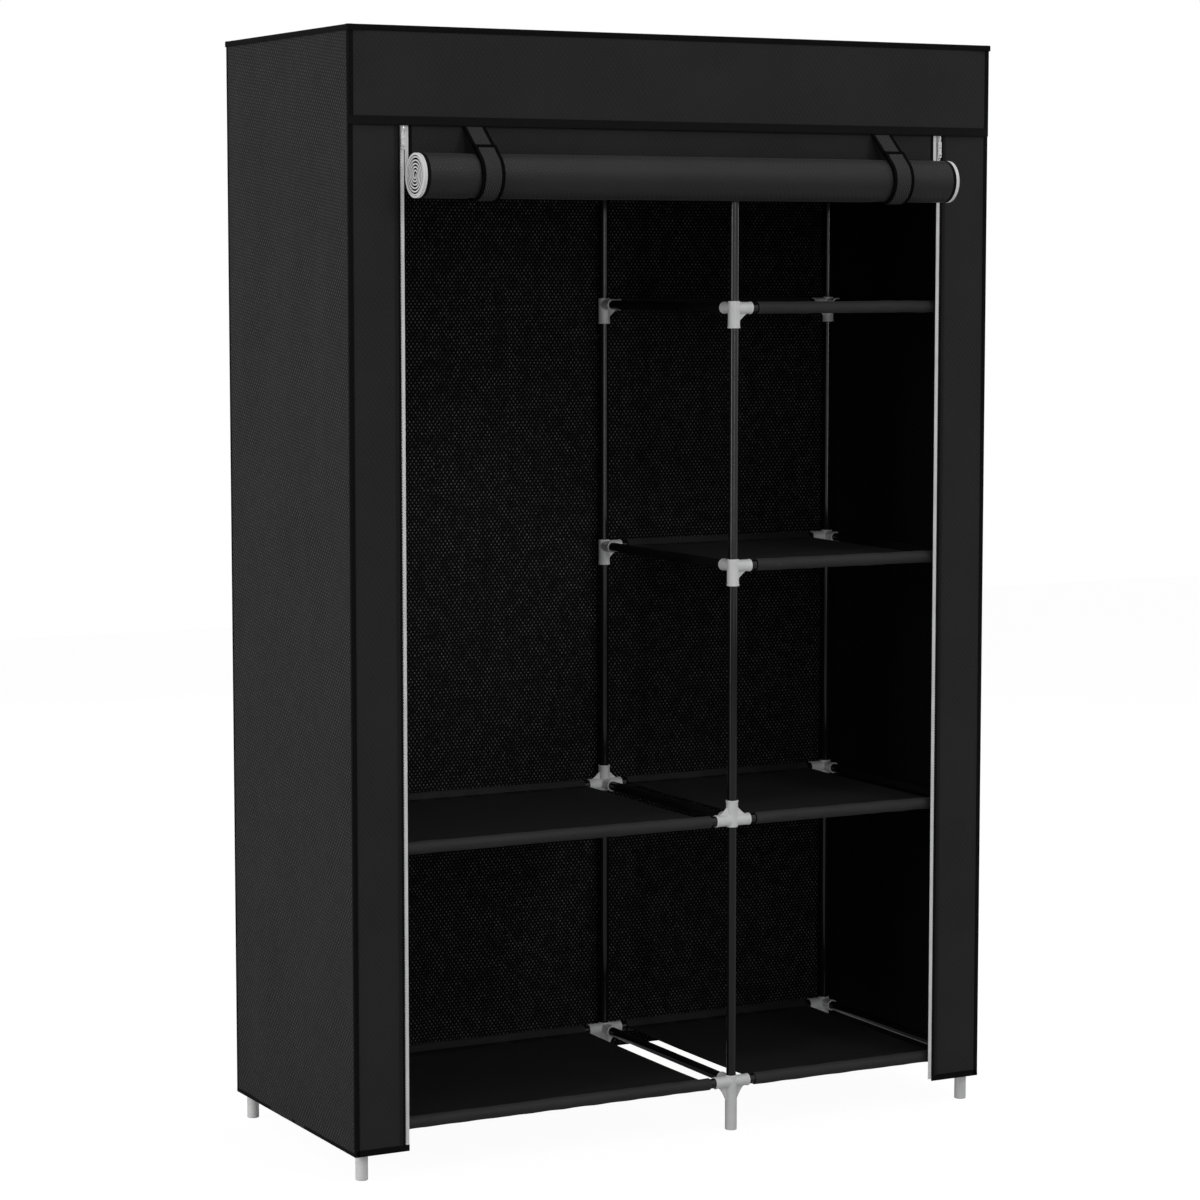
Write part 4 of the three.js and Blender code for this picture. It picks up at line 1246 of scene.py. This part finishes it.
# A plate with the outline (x, z) between two depths; further outlines are holes through it
def plateMesh(work, outlines, nearY, farY):
    curve = bpy.data.curves.new("plateOutline", "CURVE")
    curve.dimensions, curve.fill_mode = "2D", "BOTH"
    curve.extrude, curve.bevel_depth = (farY - nearY) / 2 - zipLook["bevel"], zipLook["bevel"]
    curve.bevel_resolution, curve.offset = 2, -zipLook["bevel"]
    for outline in outlines:
        spline = curve.splines.new("POLY")
        spline.points.add(len(outline) - 1)
        for point, (x, z) in zip(spline.points, outline):
            point.co = (x, z, 0, 1)
        spline.use_cyclic_u = True
    holder = newObject("plateOutline", curve)
    mesh = appliedMesh(holder, "plateOutline")
    mesh.transform(Matrix.Translation((0, (nearY + farY) / 2, 0)) @ Matrix.Rotation(math.pi / 2, 4, "X"))
    work.from_mesh(mesh)
    bpy.data.objects.remove(holder)
    bpy.data.curves.remove(curve)
    bpy.data.meshes.remove(mesh)


# Two shield-shaped plates and a bridge, a bent bar that the pull hangs on
def sliderMesh(name, x, lowest, highest, pin):
    work = bmesh.new()
    shoulder, tail = (wide / 2 for wide in zipLook["sliderWide"])
    top, bottom, corner = highest.z - 0.2 * mm, lowest.z + 0.2 * mm, 0.5 * mm
    waist = bottom + (top - bottom) * zipLook["sliderWaist"]
    shield = arc((x, top - 3.2 * mm), shoulder, 0, 180, 12)
    shield += [(x - tail, waist), (x - tail, bottom + corner), (x - tail + corner, bottom),
               (x + tail - corner, bottom), (x + tail, bottom + corner), (x + tail, waist)]
    for depth in zipLook["sliderDepths"]:
        plateMesh(work, [shield], frontY + depth, frontY + depth + zipLook["sliderPlate"])
    outerY = pin.y - 1.3 * mm
    bar = [(pin.z + rise * mm, y) for rise, y in (
        (-7.0, frontY - 2.3 * mm), (-6.4, frontY - 4.2 * mm), (-4.6, outerY),
        (0.2, outerY), (1.4, frontY - 4.0 * mm), (1.6, frontY - 2.3 * mm))]
    rings = []
    for place, (z, y) in enumerate(bar):
        before, after = bar[max(0, place - 1)], bar[min(len(bar) - 1, place + 1)]
        along = Vector((after[0] - before[0], after[1] - before[1])).normalized()
        out = Vector((-along.y, along.x)) * (zipLook["bridgeThick"] / 2)  # along z and y
        rings.append([work.verts.new((x + sx * zipLook["bridgeWide"] / 2, y + way * out.y, z + way * out.x))
                      for sx, way in ((-1, -1), (1, -1), (1, 1), (-1, 1))])
    for first, second in zip(rings, rings[1:]):
        joinRings(work, first, second)
    work.faces.new(rings[0][::-1])
    work.faces.new(rings[-1])
    bmesh.ops.recalc_face_normals(work, faces=work.faces)
    return meshOf(name, work, 35)


def pullMesh(name, pin, bottom):
    work = bmesh.new()
    half, eye, corner = zipLook["pullWide"] / 2, zipLook["pinEye"], zipLook["pullCorner"]
    x, neck = pin.x, pin.z - zipLook["pullNeck"]
    outline = arc((x, pin.z), eye, 0, 180, 12)
    outline += [(x - eye, neck), (x - half, neck - corner)]
    outline += arc((x - half + corner, bottom + corner), corner, 180, 270, 5)
    outline += arc((x + half - corner, bottom + corner), corner, 270, 360, 5)
    outline += [(x + half, neck - corner), (x + eye, neck)]
    slotTop, slotFoot, slotHalf = zipLook["pullSlot"]
    slot = arc((x, pin.z + slotTop), slotHalf, 0, 180, 8) + arc((x, pin.z + slotFoot), slotHalf, 180, 360, 8)
    hole = arc((x, bottom + half + 0.6 * mm), zipLook["pullHole"], 0, 345, 23)
    thick = zipLook["pullThick"] / 2
    plateMesh(work, [outline, slot, hole], pin.y - thick, pin.y + thick)
    return meshOf(name, work, 35)


for side, sign in (("left", 1), ("right", -1)):
    node, slider, pull = (f"zip_{what}_{side}" for what in ("tape", "slider", "pull"))
    lowest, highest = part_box(node)
    centre = middle(node)

    def surface(s, t, lowest=lowest, highest=highest, y=centre.y):
        x = lowest.x + (highest.x - lowest.x) * s
        return (x, y - zipLook["tapeCrown"] * math.sin(math.pi * s), lowest.z + (highest.z - lowest.z) * t)

    addPiece(f"{node}_cloth", sheetMesh(node, surface, 6, 90, zipLook["tape"]), zipCloth, "zip_tape", stands=node)
    edgeX, (inX, inY) = highest.x if sign > 0 else lowest.x, zipLook["toothIn"]
    teeth = toothRow(f"zip_teeth_{side}", edgeX - sign * inX, lowest.y + inY, lowest.z, low(slider).z)
    addPiece(f"zip_teeth_{side}", teeth, zipCloth, "zip_tape")
    seam("z", (lowest.z, flapLowZ - 20 * mm), centre.x - sign * 2.4 * mm, lowest.y - 0.1 * mm, (0, -1, 0))
    x = middle(slider).x + sign * zipLook["sliderShift"]
    pin = Vector((x, middle(pull).y, high(pull).z - 1.6 * mm))
    addPiece(f"slider_body_{side}", sliderMesh(f"slider_body_{side}", x, *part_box(slider), pin), zipMetal,
             "zip_metal", body=slider, stands=slider)
    addPiece(f"slider_pull_{side}", pullMesh(f"slider_pull_{side}", pin, low(pull).z), zipMetal,
             "zip_metal", body=pull, stands=pull)
stitches.addAs("cover_stitches", "cover_cloth")
print("zips and stitches made")


# Floor, world and lamps

studio = {
    "floorSize": 14.0,
    "floorPaint": 0.65,
    "floorGlow": 0.90,
    "glowStrength": 1.07,
    "ambient": 0.26,
    "aim": (0, 0.03, 0.9),
    "lamps": [
        ("windowSide", (-4.4, 0.35, 1.1), (2.4, 2.4), 78),
        ("frontSoft", (1.6, -4.6, 4.5), (1.3, 1.3), 64),
        ("rightFill", (4.4, 0.2, 2.2), (2.4, 2.4), 64),
        ("backFill", (0.9, 4.8, 2.2), (2.4, 2.4), 62),
        ("overhead", (0.1, -1.3, 4.4), (2.0, 1.0), 22),
        ("frontStrip", (-0.9, -5.4, 1.8), (0.3, 2.6), 32),
        ("leftStrip", (-4.2, -1.1, 1.8), (0.3, 2.6), 30),
    ],
}


# A plain painted floor that the camera sees almost white
def makeFloor():
    half = studio["floorSize"] / 2
    corners = [(-half, -half, 0), (half, -half, 0), (half, half, 0), (-half, half, 0)]
    floorMesh = bpy.data.meshes.new("studioFloor")
    floorMesh.from_pydata(corners, [], [(0, 1, 2, 3)])
    floor = newObject("studioFloor", floorMesh)
    paint = Nodes(bpy.data.materials.new("studioFloorPaint"))
    shader = paint.tree.nodes["Principled BSDF"]
    for socket, value in (("Base Color", grey(studio["floorPaint"])), ("Roughness", 0.9),
                          ("Specular IOR Level", 0.1)):
        paint.put(shader.inputs[socket], value)
    seen = paint.times(paint.add("LightPath").outputs["Is Camera Ray"], studio["floorGlow"])
    glow = paint.add("Emission", {"Color": grey(1.0), "Strength": studio["glowStrength"]})
    blend = paint.add("MixShader", {0: seen, 1: shader.outputs[0], 2: glow.outputs[0]})
    paint.put(paint.tree.nodes["Material Output"].inputs["Surface"], blend.outputs[0])
    floorMesh.materials.append(paint.owner)


# White for the camera, metal and glass, and dimmer as light on the object
def makeAir():
    world = bpy.data.worlds.new("studioAir")
    bpy.context.scene.world = world
    air = Nodes(world)
    rays = air.add("LightPath").outputs
    clear = air.maths("MAXIMUM", rays["Is Glossy Ray"], rays["Is Transmission Ray"])
    direct = air.maths("MAXIMUM", rays["Is Camera Ray"], clear)
    shader = air.tree.nodes["Background"]
    air.put(shader.inputs["Color"], grey(1.0))
    air.put(shader.inputs["Strength"], air.fade(direct, 0.0, 1.0, studio["ambient"], 1.0))


def makeLamps():
    for name, place, size, power in studio["lamps"]:
        data = bpy.data.lights.new(name, "AREA")
        data.shape = "RECTANGLE"
        data.size, data.size_y, data.energy = *size, power
        lamp = newObject(name, data)
        lamp.location = place
        lamp.rotation_euler = (Vector(studio["aim"]) - Vector(place)).to_track_quat("-Z", "Y").to_euler()


makeFloor()
makeAir()
makeLamps()
print("studio lit")
